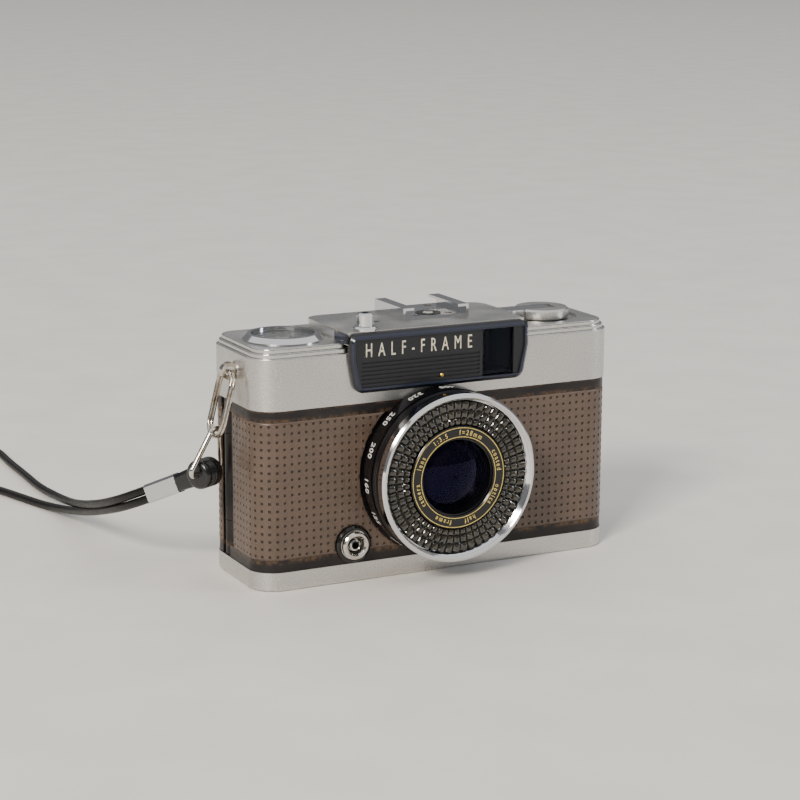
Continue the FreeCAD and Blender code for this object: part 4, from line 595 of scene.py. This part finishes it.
def makeEndLoop():
    # barrel: radius falls off at both ends as a quarter ellipse and dips at each groove
    half, bore, bend = endLoop["halfLength"], endLoop["bore"], endLoop["round"]
    t = np.linspace(-half, half, 61)
    ends = np.clip((np.abs(t) - (half - bend)) / bend, 0, 1)
    r = endLoop["radius"] - bend * (1 - np.sqrt(1 - ends ** 2 * 0.999))
    for groove in endLoop["grooves"]:
        r = r - endLoop["grooveDepth"] * np.exp(-((t - groove) / endLoop["grooveWidth"]) ** 2)
    t = np.concatenate([[-half], t, [half], np.linspace(half, -half, 12)])
    r = np.concatenate([[bore], r, [bore], np.full(12, bore)])
    angle = np.linspace(0, 2 * np.pi, 64, endpoint=False)[:, None]
    grid = (barMiddle + t[None, :, None] * barWay + (r[None, :] * np.cos(angle))[..., None] * cordWay
            + (r[None, :] * np.sin(angle))[..., None] * topWay)
    barrel = gridPiece("endLoopBarrel", grid[::-1], True, True, glossRubber, "ring", "loop_rubber")
    # neck: a bar from the barrel to the clip, its section a superellipse (cosine and sine to a power)
    # whose width shrinks evenly and whose height shrinks as a quarter sine
    s = np.linspace(0, 1, 24)[:, None]
    phi = np.linspace(0, 2 * np.pi, 40, endpoint=False)[None, :]
    wide = loopNeck["width"] - loopNeck["narrowing"] * s
    high = loopNeck["height"] - loopNeck["flattening"] * np.sin(s * np.pi / 2)
    across = wide * np.sign(np.cos(phi)) * np.abs(np.cos(phi)) ** loopNeck["corner"]
    above = high * np.sign(np.sin(phi)) * np.abs(np.sin(phi)) ** loopNeck["corner"]
    along = loopNeck["start"] + loopNeck["length"] * s + 0 * phi
    neck = (barMiddle + along[..., None] * cordWay + across[..., None] * barWay + above[..., None] * topWay)
    piece = gridPiece("endLoopNeck", neck, False, True, glossRubber, "ring", "loop_rubber")
    addModifier(piece, "SOLIDIFY", thickness=loopNeck["wall"] * mm, offset=-1, use_rim=True)
    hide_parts("strap_end_loop")
    return barrel, piece


linkValues = {"wire": 0.47, "bend": 4.5, "straight": 9.0, "tilt": 14.3, "apart": 0.44, "eyeX": -56.3}


def makeLink():
    # two turns of wire side by side: a stadium path in the link's own plane with a round section
    eye = np.array(centreOf("strap_lug_left"))
    eye[0] = linkValues["eyeX"]
    bend, straight = linkValues["bend"], linkValues["straight"]
    halfTurn = np.linspace(0, np.pi, 33)
    side = np.linspace(0, 1, 9)[1:-1]
    y = np.concatenate([bend * np.cos(halfTurn), np.full(7, -bend),
                        -bend * np.cos(halfTurn), np.full(7, bend)])
    z = np.concatenate([-bend + bend * np.sin(halfTurn), -bend - straight * side,
                        -bend - straight - bend * np.sin(halfTurn), -bend - straight + straight * side])
    path = np.stack([0 * y, y, z], -1)
    ahead = np.roll(path, -1, 0) - np.roll(path, 1, 0)
    ahead /= np.linalg.norm(ahead, axis=1)[:, None]
    out = np.cross(ahead, (1.0, 0, 0))
    phi = np.linspace(0, 2 * np.pi, 16, endpoint=False)
    tilt = math.radians(linkValues["tilt"])
    turn = np.array([[math.cos(tilt), 0, math.sin(tilt)], [0, 1, 0], [-math.sin(tilt), 0, math.cos(tilt)]])
    section = (np.cos(phi)[None, :, None] * out[:, None, :]
               + np.sin(phi)[None, :, None] * np.array((1.0, 0, 0)))
    pieces = []
    for sign, name in ((-1, "linkInner"), (1, "linkOuter")):
        shift = np.array((sign * linkValues["apart"], 0, 0))
        grid = (path[:, None, :] + linkValues["wire"] * section + shift) @ turn.T + eye
        pieces.append(gridPiece(name, grid, True, True, nickelSteel, "link", "steel"))
    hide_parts("strap_link")
    return pieces


cord = makeCord()
barrel, neck = makeEndLoop()
makeLink()
print("strap made")


covering = {"pitch": 2.07, "rows": 18, "pit": 0.36, "wall": 0.06, "depth": 0.25, "bead": 0.07,
            "thick": 0.5, "inset": 0.2, "leftStart": -8, "rightStart": 6, "end": 2.3, "frontCorner": 7.25,
            "backCorner": 5.85, "lensHole": 23.8, "socketHole": 5.15, "latchGap": (6.0, 19, 38)}


def cornerPath(corners, radii):
    # length, place and heading along straight runs joined by quarter circles
    corners = np.asarray(corners, float)
    points = [corners[:1]]
    for index in range(1, len(corners) - 1):
        back = corners[index - 1] - corners[index]
        on = corners[index + 1] - corners[index]
        back, on = back / np.linalg.norm(back), on / np.linalg.norm(on)
        centre = corners[index] + radii[index - 1] * (back + on)
        turn = np.linspace(0, np.pi / 2, 60)[:, None]
        points.append(centre - radii[index - 1] * (np.cos(turn) * on + np.sin(turn) * back))
    points.append(corners[-1:])
    line = np.concatenate(points)
    step = np.diff(line, axis=0)
    length = np.concatenate([[0], np.cumsum(np.linalg.norm(step, axis=1))])
    way = np.gradient(line, length, axis=0)
    way[0], way[-1] = step[0], step[-1]
    way /= np.linalg.norm(way, axis=1)[:, None]
    return length, line, way


def ruled(total, cells):
    # grid lines over so many cells: the cell's edge, then each pit's two lips and two floor lines,
    # whether a line is on a floor, and whether it is on a cell's edge
    pitch = total / cells
    lip, wall = (1 - covering["pit"]) / 2, covering["wall"]
    offsets = np.array([0, lip, lip + wall, 1 - lip - wall, 1 - lip])
    lines = (np.arange(cells)[:, None] + offsets).ravel() * pitch
    floors = np.tile([0, 0, 1, 1, 0], cells)
    edges = np.tile([1, 0, 0, 0, 0], cells)
    return np.append(lines, total), np.append(floors, 0), np.append(edges, 1)


def makeCovering(name, node, body, corners, radii, side, holes=(), gap=None):
    # sheet along a cornered path and up: sunk by the pit depth where two floor lines cross, and raised
    # by the bead wherever neither line is a cell's edge
    length, line, way = cornerPath(corners, radii)
    low, high = (value / mm for value in (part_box(node)[0][2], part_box(node)[1][2]))
    s, sFloor, sEdge = ruled(length[-1], round(length[-1] / covering["pitch"]))
    z, zFloor, zEdge = ruled(high - low, covering["rows"])
    x, y = np.interp(s, length, line[:, 0]), np.interp(s, length, line[:, 1])
    outX, outY = side * np.interp(s, length, way[:, 1]), -side * np.interp(s, length, way[:, 0])
    pit = sFloor[:, None] * zFloor[None, :]
    rise = covering["bead"] * (1 - sEdge[:, None]) * (1 - zEdge[None, :]) - covering["depth"] * pit
    grid = np.stack([x[:, None] + rise * outX[:, None],
                     y[:, None] + rise * outY[:, None],
                     low + z[None, :] + 0 * pit], -1)
    inside = np.zeros(pit.shape, bool)
    for centreX, centreZ, radius in holes:       # points inside a hole move out to its edge
        away = grid[..., (0, 2)] - (centreX, centreZ)
        far = np.linalg.norm(away, axis=-1)
        within = (far < radius) & (grid[..., 1] < 0)
        moved = (centreX, centreZ) + away / np.maximum(far, 1e-6)[..., None] * radius
        grid[..., 0] = np.where(within, moved[..., 0], grid[..., 0])
        grid[..., 1] = np.where(within, y[:, None], grid[..., 1])
        grid[..., 2] = np.where(within, moved[..., 1], grid[..., 2])
        pit = np.where(within, 0, pit)
        inside |= within
    faces = gridFaces(*pit.shape, False, False)
    keep = ~inside.ravel()[faces].all(1)
    if gap:                                      # whole cells left out for the latch
        height = low + z[None, :]
        cut = (s[:, None] > length[-1] - gap[0]) & (height > gap[1]) & (height < gap[2])
        keep &= ~cut.ravel()[faces].any(1)
    faces = faces[keep]
    used = np.unique(faces)
    renumber = np.zeros(pit.size, int)
    renumber[used] = np.arange(len(used))
    faces = renumber[faces] if side > 0 else renumber[faces][:, ::-1]
    # the pit mask goes to the material too, which paints shade into the pits
    piece = makePiece(name, grid.reshape(-1, 3)[used], faces, leatherette, body, "leatherette", smooth=35,
                      values={"pit": pit.ravel()[used]})
    addModifier(piece, "SOLIDIFY", thickness=covering["thick"] * mm, offset=-1)
    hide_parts(node)
    return piece


coverLow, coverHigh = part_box("top_cover")
frontY, backY = coverLow[1] / mm + covering["inset"], coverHigh[1] / mm - covering["inset"]
sideX = coverHigh[0] / mm - covering["inset"]
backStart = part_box("back_leatherette")[0][1] / mm
lensHole = (lensX, lensZ, covering["lensHole"])
socketHole = (syncX, syncZ, covering["socketHole"])

makeCovering("coveringLeft", "leatherette_left", "body",
             [(covering["leftStart"], frontY), (-sideX, frontY), (-sideX, covering["end"])],
             [covering["frontCorner"]], -1, [lensHole, socketHole])
makeCovering("coveringRight", "leatherette_right", "body",
             [(covering["rightStart"], frontY), (sideX, frontY), (sideX, covering["end"])],
             [covering["frontCorner"]], 1, [lensHole])
makeCovering("coveringBack", "back_leatherette", "door",
             [(-sideX, backStart), (-sideX, backY), (sideX, backY), (sideX, backStart)],
             [covering["backCorner"]] * 2, -1, gap=covering["latchGap"])
print("coverings made")


bubbles = {"columns": 54, "rings": (14.35, 16.2, 18.5, 21.1), "back": 25.3, "front": 26.1, "rise": 0.75}


def makeBubbleWindow():
    # a flat ring whose front swells in each cell: rise * (1 - |a|^3) * (1 - |b|^4), where a runs from
    # -1 to 1 round the cell and b outwards across it
    across = np.linspace(-1, 1, 7)
    column = np.linspace(0, 2 * np.pi, bubbles["columns"], endpoint=False)
    width = 2 * np.pi / bubbles["columns"]
    angle = (column[:, None] + across[None, :-1] * width / 2).ravel()
    a = np.tile(across[:-1], bubbles["columns"])
    radii, b = [], []
    for low, high in zip(bubbles["rings"][:-1], bubbles["rings"][1:]):
        radii.append((low + high) / 2 + across * (high - low) / 2)
        b.append(across)
    radii, b = np.concatenate(radii), np.concatenate(b)
    swell = bubbles["rise"] * (1 - np.abs(a)[:, None] ** 3) * (1 - np.abs(b)[None, :] ** 4)
    flat, angles = 0 * swell, angle[:, None] + 0 * swell
    front = aroundLens(radii[None, :] + flat, bubbles["front"] + swell, angles)
    back = aroundLens(radii[None, ::-1] + flat, bubbles["back"] + flat, angles)
    grid = np.concatenate([front, back], axis=1)
    # painted shade for the material: full at the gaps between columns, 0.45 at the gaps between rings, full
    # on the back
    groove = 1 - (1 - np.abs(a)[:, None] ** 6) * (1 - 0.45 * np.abs(b)[None, :] ** 6)
    valleyShade = np.concatenate([groove, 1 + flat], axis=1)
    piece = gridPiece("bubbleWindow", grid[::-1], True, True, bubblePlastic, "body", "glass", smooth=28,
                      values={"valleyShade": valleyShade[::-1].ravel()})
    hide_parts("cell_window")


makeBubbleWindow()

goldLines = {"radii": (11.25, 13.75), "width": 0.2, "lift": 0.05, "sunk": 0.05}
nameFront = -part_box("name_ring")[0][1] / mm


def makeGoldLines():
    # a flat rectangle carried round, just proud of the name ring's face
    half = goldLines["width"] / 2
    low, high = nameFront - goldLines["sunk"], nameFront + goldLines["lift"]
    for index, radius in enumerate(goldLines["radii"]):
        section = [(radius - half, low), (radius - half, high), (radius + half, high), (radius + half, low)]
        turned(f"goldLine{index}", section, 160, aroundLens, goldInk, "body", "brass")


makeGoldLines()


def ringPlace(radius, angle, forward):
    # type on a flat ring: x runs round, y outwards
    def place(x, y, lift):
        return aroundLens(radius + y, forward + lift, angle - x / radius)
    return place


def barrelPlace(radius, angle, forward):
    # type on the outside of a ring: x runs round towards the left, y forward
    def place(x, y, lift):
        return aroundLens(radius + lift, forward + y, angle + x / radius)
    return place


nameType = {"height": 1.42, "narrow": 0.78, "spacing": 1.55, "thick": 0.05, "bold": 0.012}
nameRadius = 12.5
nameWords = (("1:3.5", 27), ("f=28mm", -17), ("coated", -72), ("optics", -118), ("half", -163),
             ("frame", 158), ("camera", 108), ("lens", 66))      # with the angle from the top to the left
for index, (words, angle) in enumerate(nameWords):
    lettering(f"nameRingWords{index}", words, place=ringPlace(nameRadius, math.radians(angle), nameFront),
              material=goldInk, body="body", slot="brass", **nameType)

speedType = {"height": 2.0, "narrow": 0.98, "spacing": 1.12, "thick": 0.05, "bold": 0.02}
speedScale = {"radius": 23.2, "forward": 18.25, "start": -2, "step": 24}
speedNumbers = ("400", "320", "250", "200", "160", "125", "100", "80", "64", "50", "40", "25")
for index, number in enumerate(speedNumbers):
    angle = math.radians(speedScale["start"] + speedScale["step"] * index)
    place = barrelPlace(speedScale["radius"], angle, speedScale["forward"])
    lettering(f"speed{number}", number, place=place, material=whiteInk, body="speed", slot="black_ring",
              **speedType)


def zigzag(start, end, crest, root, pitch):
    # thread or ridge profile: a point at the root, then at the crest, every half pitch from start to end
    count = int((end - start) / pitch)
    along = start + np.arange(2 * count + 1) * pitch / 2
    return [(root if k % 2 == 0 else crest, value) for k, value in enumerate(along)]


def turnedRidges(name, profile, backing, *rest, **more):
    # a ridged profile closed by a wall at the backing radius, which lies inside the part that carries it
    section = profile + [(backing, profile[-1][1]), (backing, profile[0][1])]
    turned(name, section[::-1], 128, *rest, **more)


rimFront = -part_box("filter_rim")[0][1] / mm
filterThread = {"crest": 21.45, "root": 21.72, "pitch": 0.5, "length": 2.4, "setBack": 0.3, "backing": 21.9}
turnedRidges("filterThread", zigzag(rimFront - filterThread["length"], rimFront - filterThread["setBack"],
                                    filterThread["crest"], filterThread["root"], filterThread["pitch"]),
             filterThread["backing"], aroundLens, brightChrome, "body", "polished_chrome")

coneRidges = {"back": 16.4, "front": 22.4, "small": 6.1, "large": 9.0, "step": 0.55, "deep": 0.3}


def makeConeRidges():
    # stepped funnel: each step goes straight forward, then outwards
    count = int((coneRidges["front"] - coneRidges["back"]) / coneRidges["step"])
    forward = np.linspace(coneRidges["back"], coneRidges["front"], count + 1)
    radius = np.linspace(coneRidges["small"], coneRidges["large"], count + 1)
    profile = []
    for k in range(count):
        profile += [(radius[k], forward[k]), (radius[k], forward[k + 1] - 0.08),
                    (radius[k + 1] - 0.02, forward[k + 1])]
    outer = [(r + coneRidges["deep"], v) for r, v in ((radius[-1], forward[-1]), (radius[0], forward[0]))]
    turned("coneRidges", (profile + outer)[::-1], 96, aroundLens, ridgedBlack, "body", "black_inside",
           smooth=20)


makeConeRidges()

innerGlass = {"radius": 6.9, "middle": 18.4, "edge": 19.6, "back": 17.9}


def makeInnerElement():
    # concave front and flat back: forward = middle + rise * (r / radius)^2, both closed at the axis
    r = np.linspace(0.001, innerGlass["radius"], 14)
    rise = innerGlass["edge"] - innerGlass["middle"]
    front = [(value, innerGlass["middle"] + rise * (value / innerGlass["radius"]) ** 2) for value in r]
    section = front + [(innerGlass["radius"], innerGlass["back"]), (0.001, innerGlass["back"])]
    turned("innerElement", section[::-1], 64, aroundLens, amberGlass, "body", "glass")


makeInnerElement()

print("lens front made")


wheelX, wheelY, _ = centreOf("advance_wheel")
wheelLow, wheelHigh = (corner[2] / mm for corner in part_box("advance_wheel"))
wheelValues = {"radius": 12.68, "bore": 1.56, "teeth": 84, "deep": 0.5, "bevel": 0.35, "rim": 1.2,
               "dish": 0.25}


def makeAdvanceWheel():
    # edge radius = radius - deep * (1 - |sin(teeth * angle / 2)|), all the way up between two bevels
    count = wheelValues["teeth"] * 6
    angle = np.linspace(0, 2 * np.pi, count, endpoint=False)[:, None]
    notch = wheelValues["deep"] * (1 - np.abs(np.sin(wheelValues["teeth"] * angle / 2)))
    full, bevel, bore = wheelValues["radius"], wheelValues["bevel"], wheelValues["bore"]
    rim, dished = full - wheelValues["rim"], wheelHigh - wheelValues["dish"]
    # radius, height, and whether the teeth are cut there
    section = np.array([
        (bore, wheelLow, 0), (rim, wheelLow, 0), (full - bevel, wheelLow, 1), (full, wheelLow + bevel, 1),
        (full, wheelHigh - bevel, 1), (full - bevel, wheelHigh, 1), (rim, wheelHigh, 0),
        (rim - 1, dished, 0), (bore, dished, 0)])
    radius = section[None, :, 0] - notch * section[None, :, 2]
    grid = aroundUpright((wheelX, wheelY), radius, section[None, :, 1] + 0 * radius, angle + 0 * radius)
    piece = gridPiece("advanceWheel", grid, True, True, brightChrome, "wheel", "satin_chrome", smooth=25)
    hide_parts("advance_wheel")


makeAdvanceWheel()

bush = {"crest": 2.8, "root": 3.04, "pitch": 0.6, "low": 0.3, "high": 4.4, "backing": 3.15}
bushX, bushY, _ = centreOf("tripod_bush")


def aroundBush(radius, height, angle):
    return aroundUpright((bushX, bushY), radius, height, -angle)


turnedRidges("tripodThread", zigzag(bush["low"], bush["high"], bush["crest"], bush["root"], bush["pitch"]),
             bush["backing"], aroundBush, nickelSteel, "body", "steel")

dialX, dialY, _ = centreOf("counter_dial")
dialFace = 65.5
dialValues = {"numbers": 9, "step": 8, "radius": 6.3}
dialType = {"height": 1.5, "narrow": 0.8, "spacing": 1.05, "thick": 0.04, "bold": 0.015}
dialTicks = {"count": 72, "inner": 7.35, "outer": 7.85, "width": 0.14, "sunk": 0.1, "lift": 0.03}


def dialPlace(turn, radius):
    # type that stands outwards from the dial's middle
    def place(x, y, lift):
        across, out = x, radius + y
        return np.stack([dialX + out * math.sin(turn) + across * math.cos(turn),
                         dialY + out * math.cos(turn) - across * math.sin(turn), dialFace + lift], -1)
    return place


for index in range(dialValues["numbers"]):
    turn = 2 * math.pi * index / dialValues["numbers"]
    place = dialPlace(turn, dialValues["radius"])
    lettering(f"dialNumber{index}", str(index * dialValues["step"]), place=place, material=mattBlack,
              body="dial", slot="black_inside", **dialType)


def tickBars(name, turns, inner, outer, wide, low, high, centre, material, body, slot):
    # flat radial bars on a disc, all in one mesh: each runs from inner to outer along its own way
    side = np.array([-wide, wide, wide, -wide]) / 2
    reach = np.array([inner, inner, outer, outer])
    ways = np.stack([np.sin(turns), np.cos(turns)], -1)[:, None, :]
    across = np.stack([np.cos(turns), -np.sin(turns)], -1)[:, None, :]
    flat = np.array(centre)[None, None, :] + reach[None, :, None] * ways + side[None, :, None] * across
    tops = np.concatenate([flat, np.full(flat.shape[:2] + (1,), high)], -1)
    bottoms = np.concatenate([flat, np.full(flat.shape[:2] + (1,), low)], -1)
    points = np.concatenate([tops, bottoms], axis=1).reshape(-1, 3)
    box = np.array([[0, 1, 2, 3], [7, 6, 5, 4], [0, 4, 5, 1], [1, 5, 6, 2], [2, 6, 7, 3], [3, 7, 4, 0]])
    faces = (np.arange(len(turns))[:, None, None] * 8 + box[None]).reshape(-1, 4)
    makePiece(name, points, faces, material, body, slot)


tickBars("dialTicks", np.arange(dialTicks["count"]) * 2 * np.pi / dialTicks["count"], dialTicks["inner"],
         dialTicks["outer"], dialTicks["width"], dialFace - dialTicks["sunk"], dialFace + dialTicks["lift"],
         (dialX, dialY), mattBlack, "dial", "black_inside")

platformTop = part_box("accessory_shoe")[0][2] / mm
planeMark = {"x": -14.5, "y": -3.5, "radius": 0.95, "width": 0.22, "bar": 1.7, "sunk": 0.05, "lift": 0.03}
markLow, markHigh = platformTop - planeMark["sunk"], platformTop + planeMark["lift"]


def aroundPlaneMark(radius, height, angle):
    return aroundUpright((planeMark["x"], planeMark["y"]), radius, height, -angle)


markOuter, markInner = planeMark["radius"], planeMark["radius"] - planeMark["width"]
turned("planeMarkRing",
       [(markInner, markLow), (markInner, markHigh), (markOuter, markHigh), (markOuter, markLow)],
       40, aroundPlaneMark, mattBlack, "body", "black_inside")
tickBars("planeMarkBar", np.array([np.pi / 2]), -planeMark["bar"], planeMark["bar"], planeMark["width"],
         markLow, markHigh, (planeMark["x"], planeMark["y"]), mattBlack, "body", "black_inside")

latchLow, latchHigh = (np.array(corner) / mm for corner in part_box("door_latch"))
ribs = {"start": 1, "end": 6, "pitch": 1.0, "rise": 0.22, "inset": 0.5, "foot": 0.1, "back": 0.35}


def makeLatchRibs():
    # ribs across the latch: outward rise = high * |sin(pi * z / pitch)|, closed by a flat back inside it
    count = 61
    z = np.linspace(latchLow[2] + ribs["start"], latchLow[2] + ribs["end"], count)
    rise = ribs["rise"] * np.abs(np.sin((z - z[0]) * np.pi / ribs["pitch"]))
    y = (latchLow[1] + ribs["inset"], latchHigh[1] - ribs["inset"])
    front, back = latchHigh[0] - ribs["foot"] + rise, latchHigh[0] - ribs["back"] + 0 * rise
    rows = ((front, y[0]), (front, y[1]), (back, y[1]), (back, y[0]))
    grid = np.stack([np.stack([x, across + 0 * z, z], -1) for x, across in rows])
    ends = [[0, 3 * count, 2 * count, count], [count - 1, 2 * count - 1, 3 * count - 1, 4 * count - 1]]
    faces = gridFaces(4, count, True, False).tolist() + ends
    makePiece("latchRibs", grid.reshape(-1, 3), [face[::-1] for face in faces], nickelSteel, "latch",
              "steel", smooth=50)


makeLatchRibs()
print("top and back details made")


bezelType = {"height": 3.8, "narrow": 0.58, "spacing": 2.07, "thick": 0.12}
bezelMiddle = {"x": -7.9, "z": 63.95, "recess": 0.5}
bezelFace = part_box("front_bezel")[0][1] / mm + bezelMiddle["recess"]


def bezelPlace(x, y, lift):
    # type standing upright on the bezel's face
    return np.stack([bezelMiddle["x"] + x, bezelFace - lift, bezelMiddle["z"] + y], -1)


lettering("bezelWords", "HALF-FRAME", place=bezelPlace, material=creamInk, body="body", slot="blue_black",
          **bezelType)


tableHalf = 60.0                                 # metres, so far that its edge is never seen


def makeTable():
    # one square on the ground
    piece = bpy.data.meshes.new("table")
    corners = [(x * tableHalf, y * tableHalf, 0) for x, y in ((-1, -1), (1, -1), (1, 1), (-1, 1))]
    piece.from_pydata(corners, [], [(0, 1, 2, 3)])
    piece.materials.append(tableTop)
    item = bpy.data.objects.new("table", piece)
    bpy.context.scene.collection.objects.link(item)


lights = {                                       # metres and watts
    "keyLight": {"place": (-1.9, -1.5, 1.7), "target": (0, 0, 0.03), "size": (0.8, 0.8), "power": 92,
                 "colour": "#FFF6EC"},
    "topLight": {"place": (0.3, 1.2, 4.2), "target": (0, 0.8, 0), "size": (10.0, 10.0), "power": 250,
                 "colour": "#FFFFFF"},
    "sideLight": {"place": (1.5, -0.9, 0.8), "target": (0, 0, 0.03), "size": (0.35, 0.9), "power": 9,
                  "colour": "#E9F0FF"},
}
room = {"colour": "#DEDFE2", "strength": 0.3}


def addLight(name, place, target, size, power, colour):
    data = bpy.data.lights.new(name, "AREA")
    data.shape = "RECTANGLE"
    data.size, data.size_y = size
    data.energy = power
    data.color = toLinear(colour)[:3]
    item = bpy.data.objects.new(name, data)
    item.location = place
    item.rotation_euler = (Vector(target) - Vector(place)).to_track_quat("-Z", "Y").to_euler()
    bpy.context.scene.collection.objects.link(item)


makeTable()
for name, settings in lights.items():
    addLight(name, **settings)
world = bpy.data.worlds.new("studio")
world.use_nodes = True
world.node_tree.nodes["Background"].inputs["Color"].default_value = toLinear(room["colour"])
world.node_tree.nodes["Background"].inputs["Strength"].default_value = room["strength"]
bpy.context.scene.world = world
print("light set")
